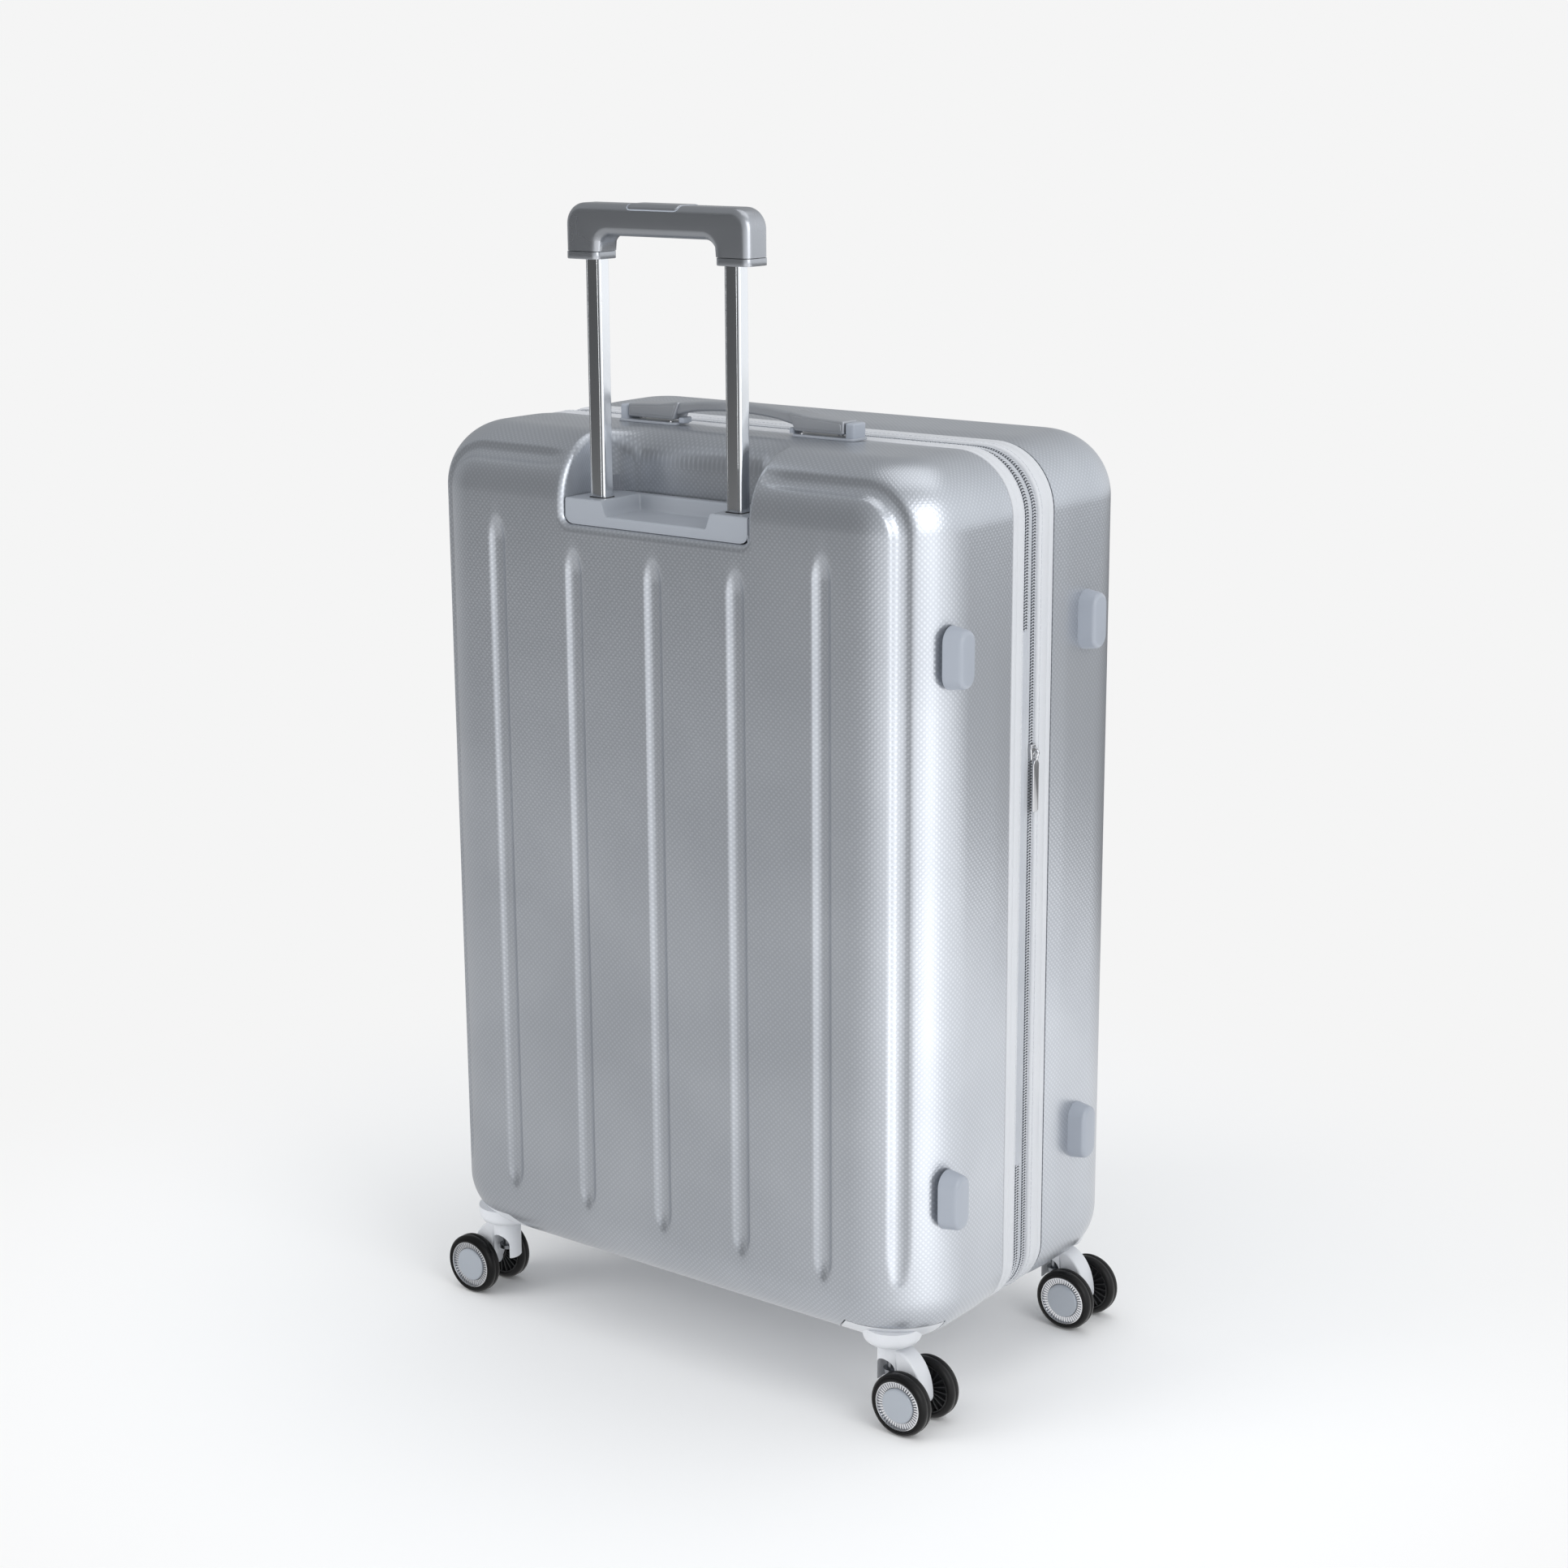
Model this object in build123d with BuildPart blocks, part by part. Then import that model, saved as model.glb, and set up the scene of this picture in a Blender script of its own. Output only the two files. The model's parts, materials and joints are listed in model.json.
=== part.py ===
from build123d import *
import os
from math import atan2, cos, radians, sin, sqrt

# Hard shell suitcase on four double castors, in millimetres.
# X runs across the case, towards the hinge side. Y runs from the trolley face to the lid.
# Z is up from the floor.

os.makedirs("parts", exist_ok=True)

# Case
case_width = 496.0
case_depth = 306.0
ground_clearance = 64.0
shell_height = 689.0
back_depth = 122.0
wall = 3.0
upright_radius = 64.0
top_radius = 52.0
bottom_radius = 45.0
lip_bevel_run = 19.0
lip_bevel_rise = 1.5

# Pressed ribs of both faces
rib_count = 5
rib_pitch = 80.0
rib_width = 17.0
rib_depth = 4.0
rib_tip = 20.0
rib_low = 115.0
rib_outer_drop = 69.0
rib_inner_drop = 88.0

# Channel pressed round the shoulder of both faces
channel_width = 17.0
channel_depth = 4.0
channel_side_angle = 37.0
channel_top_angle = 40.0
channel_corner_radius = 40.0
channel_low = 128.0
channel_end_gap = 15.0

# Trolley pocket in the back shell
pocket_width = 182.0
pocket_depth = 60.0
pocket_height = 68.0
pocket_corner_radius = 15.0
pocket_crest_radius = 25.0

# Trolley
tube_spacing = 134.4
tube_setback = 21.5
tube_width = 15.0
tube_depth = 12.5
tube_wall = 1.4
tube_corner_radius = 3.0
tube_bottom = 278.0
slide_clearance = 0.3
sleeve_wall = 1.6
sleeve_bottom = 84.0
sleeve_end_gap = 4.0
bezel_height = 20.0
bezel_dish_depth = 12.0
bezel_dish_width = 104.0
bezel_setback = 3.5
bezel_gap = 1.5
bezel_back_lip = 9.0
grip_reach = 134.6
grip_width = 177.0
grip_height = 42.0
grip_depth = 27.0
grip_bar_height = 24.0
grip_leg_width = 32.0
grip_outer_radius = 16.0
grip_inner_radius = 11.0
grip_edge_radius = 5.0
grip_socket = 28.0
button_length = 52.0
button_width = 15.0
button_height = 5.0
button_proud = 0.6
button_travel = 3.0
button_clearance = 0.4
rod_diameter = 4.0
yoke_height = 5.0
yoke_width = 6.0
base_width = 168.0
base_depth = 30.0
base_height = 26.0

# Band between the shells: piping, zips, gusset
piping_inset = 1.5
piping_thickness = 5.0
back_piping_width = 18.0
front_piping_width = 21.0
tape_inset = 3.5
tape_thickness = 3.5
tape_width = 3.8
lid_gap = 0.4
mid_band_width = 9.6
mid_band_thickness = 6.0
expander_tape_width = 4.8
gusset_inset = 8.2
gusset_thickness = 1.2
gusset_length = 51.0
hinge_tape_low = 186.0
hinge_tape_drop = 137.0
hinge_tape_thickness = 1.0

# Linings and packing straps
lining_thickness = 1.2
back_lining_depth = 81.0
lining_hem = 6.0
gusset_play = 0.6
wheel_well_room = 8.0
strap_width = 25.0
strap_thickness = 1.6
strap_heights = (290.0, 520.0)

# Feet on the hinge side
foot_height = 14.0
foot_length = 43.0
foot_width = 19.0
foot_draft = 8.0
foot_root = 9.0
foot_drop = 141.0
foot_lower = 191.0
back_foot_setback = 42.0
front_foot_setback = 80.0

# Castors
wheel_diameter = 51.0
wheel_width = 13.0
wheel_track = 38.0
castor_trail = 22.0
castor_inset = 45.0
castor_setback = 33.0
tyre_inner_diameter = 37.0
tyre_edge_radius = 3.0
hub_dish_depth = 2.0
hub_cap_diameter = 25.0
axle_diameter = 6.0
axle_running_clearance = 0.06
axle_end_cover = 3.0
housing_width = 93.0
housing_depth = 52.0
housing_height = 17.0
housing_slope = 21.0
housing_skin = 3.0
cup_diameter = 44.0
cup_bottom = 58.0
cup_height = 23.0
pin_diameter = 8.0
pin_head_diameter = 14.0
pin_head_height = 3.0
pin_running_clearance = 0.06
stem_diameter = 23.6
stem_bottom = 33.0
stem_gap = 0.3
horn_width = 17.0
horn_hub_radius = 9.0
horn_reach = 15.0
fork_cavity_diameter = 18.0
fork_cavity_top = 43.0

# Carry handles
handle_plate_length = 60.0
handle_plate_width = 23.0
handle_plate_thickness = 2.5
handle_plate_corner = 6.0
handle_plate_margin = 1.0
handle_length = 232.0
handle_wedge_length = 56.0
handle_neck_slant = 18.0
handle_arch = 2.5
handle_bar_width = 19.0
handle_edge_radius = 1.5
handle_seat_gap = 0.3
handle_pin_diameter = 5.0
handle_pin_spacing = 196.0
top_handle_rise = 22.0
top_handle_shoulder = 16.0
top_handle_end = 14.0
top_handle_thickness = 8.0
top_handle_pin = 8.0
top_handle_setback = 110.0
side_handle_shoulder = 11.5
side_handle_end = 10.0
side_handle_thickness = 5.0
side_handle_pin = 5.0
side_handle_setback = 88.0
side_handle_height = 420.0

# Zip sliders and pulls
slider_length = 13.0
slider_width = 7.4
slider_height = 3.0
slider_corner = 1.5
slider_gap = 0.3
bridge_height = 4.6
bridge_bar = 1.2
bridge_post = 2.4
bridge_width = 2.4
bridge_length = 9.0
pull_length = 48.0
pull_width = 8.0
pull_corner = 2.0
pull_thickness = 1.8
pull_crossbar = 2.0
pull_eye_length = 5.0
pull_eye_gap = 0.35
pull_gap = 0.8
main_slider_height = 400.0
expander_slider_height = 519.5

# Places that follow from the sizes above
half_width = case_width / 2
back_y = -case_depth / 2
front_y = case_depth / 2
back_split = back_y + back_depth
shell_bottom = ground_clearance
shell_top = ground_clearance + shell_height
rib_outer_high = shell_top - rib_outer_drop
rib_inner_high = shell_top - rib_inner_drop
pocket_floor = shell_top - pocket_height
grip_underside = shell_top + grip_reach
hinge_tape_high = shell_top - hinge_tape_drop
foot_upper = shell_top - foot_drop
castor_side = half_width - castor_inset
tube_x = tube_spacing / 2
tube_y = back_y + tube_setback
bezel_top = pocket_floor + bezel_height
rib_radius = (rib_width ** 2 / 4 + rib_depth ** 2) / (2 * rib_depth)
rib_standoff = rib_radius - rib_depth
channel_radius = (channel_width ** 2 / 4 + channel_depth ** 2) / (2 * channel_depth)
channel_standoff = channel_radius - channel_depth
axle_height = wheel_diameter / 2
piping_y = back_split
main_tape_y = back_split + back_piping_width
mid_band_y = main_tape_y + tape_width + lid_gap
expander_tape_y = mid_band_y + mid_band_width + lid_gap
front_piping_y = expander_tape_y + expander_tape_width
front_split = front_piping_y + front_piping_width
zip_face_x = half_width - tape_inset
pin_bottom = fork_cavity_top - stem_gap - pin_head_height
sleeve_width = tube_width + 2 * (slide_clearance + sleeve_wall)
sleeve_depth = tube_depth + 2 * (slide_clearance + sleeve_wall)


def save(builder, name):
    """Label a finished piece and write it under its name."""
    builder.part.label = name
    export_step(builder.part, f"parts/{name}.step")


def upright_plane(y):
    """Plane facing the trolley side at depth y, with X across and Z as its own Y."""
    return Plane(origin=(0, y, 0), x_dir=(1, 0, 0), z_dir=(0, -1, 0))


def half_body(face_y, split_y, inset, overrun=0.0, bevel=False):
    """Rounded block of one half of the case, moved inwards all round by inset."""
    inwards = 1 if split_y > face_y else -1
    near = face_y + inwards * inset
    far = split_y + inwards * overrun
    with BuildPart() as body:
        with BuildSketch(Plane.XY.offset(shell_bottom + inset)) as plan:
            with Locations((0, (near + far) / 2)):
                Rectangle(case_width - 2 * inset, abs(far - near))
            face_corners = plan.vertices().sort_by(Axis.Y)
            fillet(face_corners[:2] if inwards > 0 else face_corners[-2:], upright_radius - inset)
        extrude(amount=shell_height - 2 * inset)
        crown = body.faces().sort_by(Axis.Z)[-1].edges()
        fillet(crown.filter_by(lambda edge: abs(edge.center().Y - far) > wall), top_radius - inset)
        keel = body.faces().sort_by(Axis.Z)[0].edges()
        fillet(keel.filter_by(lambda edge: abs(edge.center().Y - far) > wall), bottom_radius - inset)
        if bevel:
            split_face = body.faces().filter_by(Axis.Y).sort_by(Axis.Y)[-1 if inwards > 0 else 0]
            chamfer(split_face.edges(), lip_bevel_rise, lip_bevel_run, reference=split_face)
    return body.part


def rib_cutter(x, face_y, outwards, high, grow):
    """Round bar with pointed ends that presses one upright rib; grow thickens it for the inner skin."""
    radius = rib_radius + grow
    tip_radius = (rib_tip ** 2 + rib_depth ** 2) / (2 * rib_depth) + grow
    tip_centre = radius - tip_radius
    reach = sqrt(tip_radius ** 2 - tip_centre ** 2)
    tip_angle = atan2(reach, -tip_centre) / 2
    bulge = tip_centre + tip_radius * cos(tip_angle)
    rise = tip_radius * sin(tip_angle)
    low_end = rib_low + rib_tip
    high_end = high - rib_tip
    y = face_y + outwards * rib_standoff
    with BuildPart() as cutter:
        with BuildSketch(Plane(origin=(x, y, 0), x_dir=(1, 0, 0), z_dir=(0, -1, 0))):
            with BuildLine():
                Line((0, low_end - reach), (0, high_end + reach))
                ThreePointArc((0, high_end + reach), (bulge, high_end + rise), (radius, high_end))
                Line((radius, high_end), (radius, low_end))
                ThreePointArc((radius, low_end), (bulge, low_end - rise), (0, low_end - reach))
            make_face()
        revolve(axis=Axis((x, y, 0), (0, 0, 1)))
    return cutter.part


def rib_set(face_y, outwards, high_for, grow=0.0):
    """Cutters of all ribs of one face."""
    first = -(rib_count - 1) / 2 * rib_pitch
    places = [first + index * rib_pitch for index in range(rib_count)]
    return [rib_cutter(x, face_y, outwards, high_for(x), grow) for x in places]


def back_rib_high(x):
    """The ribs under the trolley pocket stop lower than the outermost pair."""
    return rib_outer_high if abs(x) > rib_pitch * (rib_count - 1) / 2 - 1 else rib_inner_high


def front_rib_high(x):
    """All ribs of the lid reach the same height."""
    return rib_outer_high


side_angle = radians(channel_side_angle)
top_angle = radians(channel_top_angle)
channel_x = half_width - upright_radius * (1 - sin(side_angle)) + channel_standoff * sin(side_angle)
channel_z = shell_top - top_radius * (1 - sin(top_angle)) + channel_standoff * sin(top_angle)
channel_sink = upright_radius * (1 - cos(side_angle)) - channel_standoff * cos(side_angle)


def channel_cutter(face_y, inwards, inner_x, side, grow):
    """Round bar that follows one upright shoulder, turns the corner and runs along the top shoulder."""
    y = face_y + inwards * channel_sink
    with BuildPart() as cutter:
        with BuildLine(upright_plane(y)) as path:
            FilletPolyline(
                (side * channel_x, channel_low),
                (side * channel_x, channel_z),
                (side * inner_x, channel_z),
                radius=channel_corner_radius,
            )
        with BuildSketch(Plane(origin=(side * channel_x, y, channel_low), z_dir=(0, 0, 1))):
            Circle(channel_radius + grow)
        sweep()
        with Locations((side * channel_x, y, channel_low)):
            Sphere(channel_radius + grow)
    return cutter.part


def pocket_cutter(grow):
    """Trolley pocket, open to the face and the top, with a rounded crest at the back."""
    back = back_y + pocket_depth + grow
    crest = pocket_crest_radius - grow
    crest_y = back + crest
    crest_z = shell_top - pocket_crest_radius
    with BuildPart() as cutter:
        with BuildSketch(Plane(origin=(0, 0, 0), x_dir=(0, 1, 0), z_dir=(1, 0, 0))):
            with BuildLine():
                Polyline(
                    (crest_y, crest_z + crest),
                    (crest_y, shell_top + pocket_depth),
                    (back_y - pocket_depth, shell_top + pocket_depth),
                    (back_y - pocket_depth, pocket_floor - grow),
                    (back, pocket_floor - grow),
                    (back, crest_z),
                )
                RadiusArc((back, crest_z), (crest_y, crest_z + crest), crest)
            make_face()
        extrude(amount=pocket_width / 2 + grow, both=True)
        upright_edges = cutter.edges().filter_by(Axis.Z)
        corners = upright_edges.filter_by(lambda edge: abs(edge.center().Y - back) < wall / 2)
        fillet(corners, pocket_corner_radius + grow)
    return cutter.part


def housing_region(side, face_y, inwards, grow):
    """Lower corner of a half that the castor housing takes out of the shell, grown all round by grow."""
    low = shell_bottom - housing_skin
    high = shell_bottom + housing_height + grow
    x_inner = half_width - housing_width - grow
    x_outer = half_width + housing_skin
    y_inner = face_y + inwards * (housing_depth + grow)
    y_outer = face_y - inwards * housing_skin
    with BuildPart() as region:
        with BuildSketch(upright_plane(y_inner)):
            with BuildLine():
                Polyline(
                    (side * x_inner, low),
                    (side * x_inner, shell_bottom),
                    (side * (x_inner + housing_slope), high),
                    (side * x_outer, high),
                    (side * x_outer, low),
                    close=True,
                )
            make_face()
        extrude(amount=y_inner - y_outer)
    return region.part


def case_ring(y_low, y_high, inset, thickness):
    """Closed band of the case's upright outline between two depths."""
    plane = upright_plane(y_low)
    middle = (shell_bottom + shell_top) / 2
    with BuildPart() as ring:
        with BuildSketch(plane) as outline:
            with Locations((0, middle)):
                Rectangle(case_width - 2 * inset, shell_height - 2 * inset)
            corners = outline.vertices().sort_by(Axis.Y)
            fillet(corners[-2:], top_radius - inset)
            fillet(outline.vertices().sort_by(Axis.Y)[:2], bottom_radius - inset)
            offset(amount=-thickness, mode=Mode.SUBTRACT)
        extrude(amount=y_low - y_high)
    return ring.part


def pressed(body, presses):
    """Body with every press taken out of it."""
    with BuildPart() as result:
        add(body)
        for press in presses:
            add(press, mode=Mode.SUBTRACT)
    return result.part


def back_presses(grow):
    """Ribs, shoulder channels and trolley pocket of the back shell, thickened by grow."""
    end = pocket_width / 2 + channel_end_gap - grow
    channels = [channel_cutter(back_y, 1, end, side, grow) for side in (-1, 1)]
    return rib_set(back_y, -1, back_rib_high, grow) + channels + [pocket_cutter(grow)]


def front_presses(grow):
    """Ribs and shoulder channels of the lid, thickened by grow."""
    channels = [channel_cutter(front_y, -1, 0, side, grow) for side in (-1, 1)]
    return rib_set(front_y, 1, front_rib_high, grow) + channels


# Back shell
back_form = pressed(half_body(back_y, back_split, 0, bevel=True), back_presses(0))
back_hollow = pressed(half_body(back_y, back_split, wall, overrun=wall), back_presses(wall))
back_corners = [housing_region(side, back_y, 1, 0) for side in (-1, 1)]
with BuildPart() as back_shell:
    add(back_form)
    add(back_hollow, mode=Mode.SUBTRACT)
    for corner in back_corners:
        add(corner, mode=Mode.SUBTRACT)
    with BuildSketch(Plane.XY.offset(pocket_floor)):
        with Locations((-tube_x, tube_y), (tube_x, tube_y)):
            RectangleRounded(
                sleeve_width + slide_clearance,
                sleeve_depth + slide_clearance,
                tube_corner_radius,
            )
    extrude(amount=-2 * wall, mode=Mode.SUBTRACT)
save(back_shell, "back_shell")

# Front shell
front_form = pressed(half_body(front_y, front_split, 0, bevel=True), front_presses(0))
front_hollow = pressed(half_body(front_y, front_split, wall, overrun=wall), front_presses(wall))
front_corners = [housing_region(side, front_y, -1, 0) for side in (-1, 1)]
with BuildPart() as front_shell:
    add(front_form)
    add(front_hollow, mode=Mode.SUBTRACT)
    for corner in front_corners:
        add(corner, mode=Mode.SUBTRACT)
save(front_shell, "front_shell")

# Piping, zip tapes, expander band and gusset
with BuildPart() as back_piping:
    add(case_ring(piping_y, main_tape_y, piping_inset, piping_thickness))
save(back_piping, "back_piping")

with BuildPart() as main_zip_tape:
    add(case_ring(main_tape_y, main_tape_y + tape_width, tape_inset, tape_thickness))
save(main_zip_tape, "main_zip_tape")

with BuildPart() as zip_band:
    add(case_ring(mid_band_y, mid_band_y + mid_band_width, tape_inset, mid_band_thickness))
save(zip_band, "zip_band")

with BuildPart() as expander_gusset:
    gusset_start = mid_band_y + mid_band_width
    add(case_ring(gusset_start, gusset_start + gusset_length, gusset_inset, gusset_thickness))
save(expander_gusset, "expander_gusset")

with BuildPart() as expander_zip_tape:
    add(case_ring(expander_tape_y, front_piping_y, tape_inset, tape_thickness))
save(expander_zip_tape, "expander_zip_tape")

with BuildPart() as front_piping:
    add(case_ring(front_piping_y, front_split, piping_inset, piping_thickness))
save(front_piping, "front_piping")

with BuildPart() as hinge_tape:
    with Locations((
        zip_face_x + hinge_tape_thickness / 2,
        main_tape_y + tape_width / 2,
        (hinge_tape_low + hinge_tape_high) / 2,
    )):
        Box(hinge_tape_thickness, tape_width, hinge_tape_high - hinge_tape_low)
save(hinge_tape, "hinge_tape")


def lining_form(face_y, floor_y, rim_y, inset, inwards, overrun, well_room):
    """Space inside a half down to the lining floor, less the wheel wells."""
    block = half_body(floor_y - inwards * inset, rim_y, inset, overrun)
    wells = [housing_region(side, face_y, inwards, well_room) for side in (-1, 1)]
    return pressed(block, wells)


back_lining_inset = piping_inset + piping_thickness
back_lining_floor = back_split - back_lining_depth
back_rim = back_split + lining_hem
back_lining_outer = lining_form(
    back_y, back_lining_floor, back_rim, back_lining_inset, 1, 0, wheel_well_room
)
back_lining_inner = lining_form(
    back_y,
    back_lining_floor + lining_thickness,
    back_rim,
    back_lining_inset + lining_thickness,
    1,
    lining_thickness,
    wheel_well_room + lining_thickness,
)
pocket_clear = pocket_cutter(2 * wall)
back_lining_inner = pressed(back_lining_inner, [pocket_cutter(2 * wall + lining_thickness)])
with BuildPart() as back_lining:
    add(back_lining_outer)
    add(pocket_clear, mode=Mode.SUBTRACT)
    add(back_lining_inner, mode=Mode.SUBTRACT)
save(back_lining, "back_lining")

front_lining_inset = gusset_inset + gusset_thickness + gusset_play
front_lining_floor = front_y - wall - rib_depth
front_lining_outer = lining_form(
    front_y, front_lining_floor, front_split, front_lining_inset, -1, 0, wheel_well_room
)
front_lining_inner = lining_form(
    front_y,
    front_lining_floor - lining_thickness,
    front_split,
    front_lining_inset + lining_thickness,
    -1,
    lining_thickness,
    wheel_well_room + lining_thickness,
)
with BuildPart() as front_lining:
    add(front_lining_outer)
    add(front_lining_inner, mode=Mode.SUBTRACT)
save(front_lining, "front_lining")

with BuildPart() as packing_straps:
    strap_length = case_width - 2 * upright_radius
    for height in strap_heights:
        with Locations((0, back_lining_floor + lining_thickness + strap_thickness / 2, height)):
            Box(strap_length, strap_thickness, strap_width)
save(packing_straps, "packing_straps")


def feet(face_y, split_y, setback, inwards, name):
    """Two drafted pads that the case stands on when it is laid on its hinge side."""
    y = face_y + inwards * setback
    shell_form = half_body(face_y, split_y, 0)
    with BuildPart() as pair:
        with BuildSketch(Plane.YZ.offset(half_width + foot_height)):
            with Locations((y, foot_upper), (y, foot_lower)):
                SlotOverall(foot_length, foot_width, rotation=90)
        extrude(amount=-foot_height - foot_root, taper=-foot_draft)
        add(shell_form, mode=Mode.SUBTRACT)
    save(pair, name)


feet(back_y, back_split, back_foot_setback, 1, "back_feet")
feet(front_y, front_split, front_foot_setback, -1, "front_feet")

# Trolley sleeves, bezel and base, fixed in the back shell
with BuildPart() as trolley_sleeves:
    with BuildSketch(Plane.XY.offset(sleeve_bottom)):
        with Locations((-tube_x, tube_y), (tube_x, tube_y)):
            RectangleRounded(sleeve_width, sleeve_depth, tube_corner_radius)
            RectangleRounded(
                sleeve_width - 2 * sleeve_wall,
                sleeve_depth - 2 * sleeve_wall,
                tube_corner_radius - sleeve_wall / 2,
                mode=Mode.SUBTRACT,
            )
    extrude(amount=bezel_top - sleeve_end_gap - sleeve_bottom)
save(trolley_sleeves, "trolley_sleeves")

with BuildPart() as trolley_bezel:
    bezel_front = back_y + bezel_setback
    bezel_back = back_y + pocket_depth - bezel_gap
    with BuildSketch(Plane.XY.offset(pocket_floor)) as plan:
        with Locations((0, (bezel_front + bezel_back) / 2)):
            Rectangle(pocket_width - 2 * bezel_gap, bezel_back - bezel_front)
        fillet(plan.vertices().sort_by(Axis.Y)[-2:], pocket_corner_radius - bezel_gap)
    extrude(amount=bezel_height)
    with BuildSketch(Plane.XY.offset(bezel_top)):
        with Locations((0, (bezel_front + bezel_back - bezel_back_lip) / 2 - wall)):
            Rectangle(bezel_dish_width, bezel_back - bezel_front - bezel_back_lip + 2 * wall)
    extrude(amount=-bezel_dish_depth, mode=Mode.SUBTRACT)
    with BuildSketch(Plane.XY.offset(pocket_floor)):
        with Locations((-tube_x, tube_y), (tube_x, tube_y)):
            RectangleRounded(
                sleeve_width + slide_clearance,
                sleeve_depth + slide_clearance,
                tube_corner_radius,
            )
    extrude(amount=bezel_height - sleeve_end_gap, mode=Mode.SUBTRACT)
    with BuildSketch(Plane.XY.offset(bezel_top)):
        with Locations((-tube_x, tube_y), (tube_x, tube_y)):
            RectangleRounded(
                tube_width + 2 * slide_clearance,
                tube_depth + 2 * slide_clearance,
                tube_corner_radius,
            )
    extrude(amount=-bezel_height, mode=Mode.SUBTRACT)
save(trolley_bezel, "trolley_bezel")

with BuildPart() as trolley_base:
    with Locations((0, tube_y, shell_bottom + wall)):
        Box(base_width, base_depth, base_height, align=(Align.CENTER, Align.CENTER, Align.MIN))
    add(half_body(back_y, back_split, wall), mode=Mode.INTERSECT)
    with BuildSketch(Plane.XY.offset(sleeve_bottom)):
        with Locations((-tube_x, tube_y), (tube_x, tube_y)):
            RectangleRounded(sleeve_width, sleeve_depth, tube_corner_radius)
    extrude(amount=base_height, mode=Mode.SUBTRACT)
save(trolley_base, "trolley_base")

# Sliding trolley: tubes, grip, release button and rods
with BuildPart() as trolley_tubes:
    with BuildSketch(Plane.XY.offset(tube_bottom)):
        with Locations((-tube_x, tube_y), (tube_x, tube_y)):
            RectangleRounded(tube_width, tube_depth, tube_corner_radius)
            RectangleRounded(
                tube_width - 2 * tube_wall,
                tube_depth - 2 * tube_wall,
                tube_corner_radius - tube_wall,
                mode=Mode.SUBTRACT,
            )
    extrude(amount=grip_underside + grip_socket - tube_bottom)
save(trolley_tubes, "trolley_tubes")

grip_top = grip_underside + grip_height
button_floor = grip_top + button_proud - button_height
yoke_top = button_floor
yoke_bottom = yoke_top - yoke_height
with BuildPart() as trolley_grip:
    with BuildSketch(upright_plane(tube_y + grip_depth / 2)) as profile:
        with Locations((0, grip_underside + grip_height / 2)):
            Rectangle(grip_width, grip_height)
        fillet(profile.vertices().sort_by(Axis.Y)[-2:], grip_outer_radius)
        with BuildLine():
            FilletPolyline(
                (-grip_width / 2 + grip_leg_width, grip_underside - grip_height),
                (-grip_width / 2 + grip_leg_width, grip_top - grip_bar_height),
                (grip_width / 2 - grip_leg_width, grip_top - grip_bar_height),
                (grip_width / 2 - grip_leg_width, grip_underside - grip_height),
                radius=grip_inner_radius,
            )
            Line(
                (grip_width / 2 - grip_leg_width, grip_underside - grip_height),
                (-grip_width / 2 + grip_leg_width, grip_underside - grip_height),
            )
        make_face(mode=Mode.SUBTRACT)
    extrude(amount=grip_depth)
    front_edges = trolley_grip.faces().sort_by(Axis.Y)[0].edges()
    back_edges = trolley_grip.faces().sort_by(Axis.Y)[-1].edges()
    long_edges = [edge for edge in front_edges + back_edges if edge.center().Z > grip_underside + wall]
    fillet(long_edges, grip_edge_radius)
    with Locations((0, tube_y, grip_top)):
        Box(
            button_length + 2 * button_clearance,
            button_width + 2 * button_clearance,
            2 * (button_height - button_proud + button_travel + button_clearance),
            mode=Mode.SUBTRACT,
        )
    with Locations((0, tube_y, yoke_top + button_clearance)):
        Box(
            tube_spacing + yoke_width + 2 * button_clearance,
            yoke_width + 2 * button_clearance,
            yoke_height + button_travel + 2 * button_clearance,
            align=(Align.CENTER, Align.CENTER, Align.MAX),
            mode=Mode.SUBTRACT,
        )
    with BuildSketch(Plane.XY.offset(grip_underside)):
        with Locations((-tube_x, tube_y), (tube_x, tube_y)):
            RectangleRounded(tube_width, tube_depth, tube_corner_radius)
    extrude(amount=grip_socket, mode=Mode.SUBTRACT)
    with BuildSketch(Plane.XY.offset(grip_underside + grip_socket)):
        with Locations((-tube_x, tube_y), (tube_x, tube_y)):
            Circle(rod_diameter / 2 + button_clearance)
    extrude(amount=yoke_bottom - grip_underside - grip_socket, mode=Mode.SUBTRACT)
save(trolley_grip, "trolley_grip")

with BuildPart() as grip_button:
    with Locations((0, tube_y, button_floor)):
        Box(button_length, button_width, button_height, align=(Align.CENTER, Align.CENTER, Align.MIN))
    fillet(grip_button.edges().group_by(Axis.Z)[-1], button_proud)
save(grip_button, "grip_button")

with BuildPart() as release_yoke:
    with Locations((0, tube_y, yoke_top)):
        Box(
            tube_spacing + yoke_width,
            yoke_width,
            yoke_height,
            align=(Align.CENTER, Align.CENTER, Align.MAX),
        )
    with BuildSketch(Plane.XY.offset(yoke_bottom)):
        with Locations((-tube_x, tube_y), (tube_x, tube_y)):
            Circle(rod_diameter / 2)
    extrude(amount=tube_bottom + grip_depth - yoke_bottom)
save(release_yoke, "release_yoke")


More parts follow.
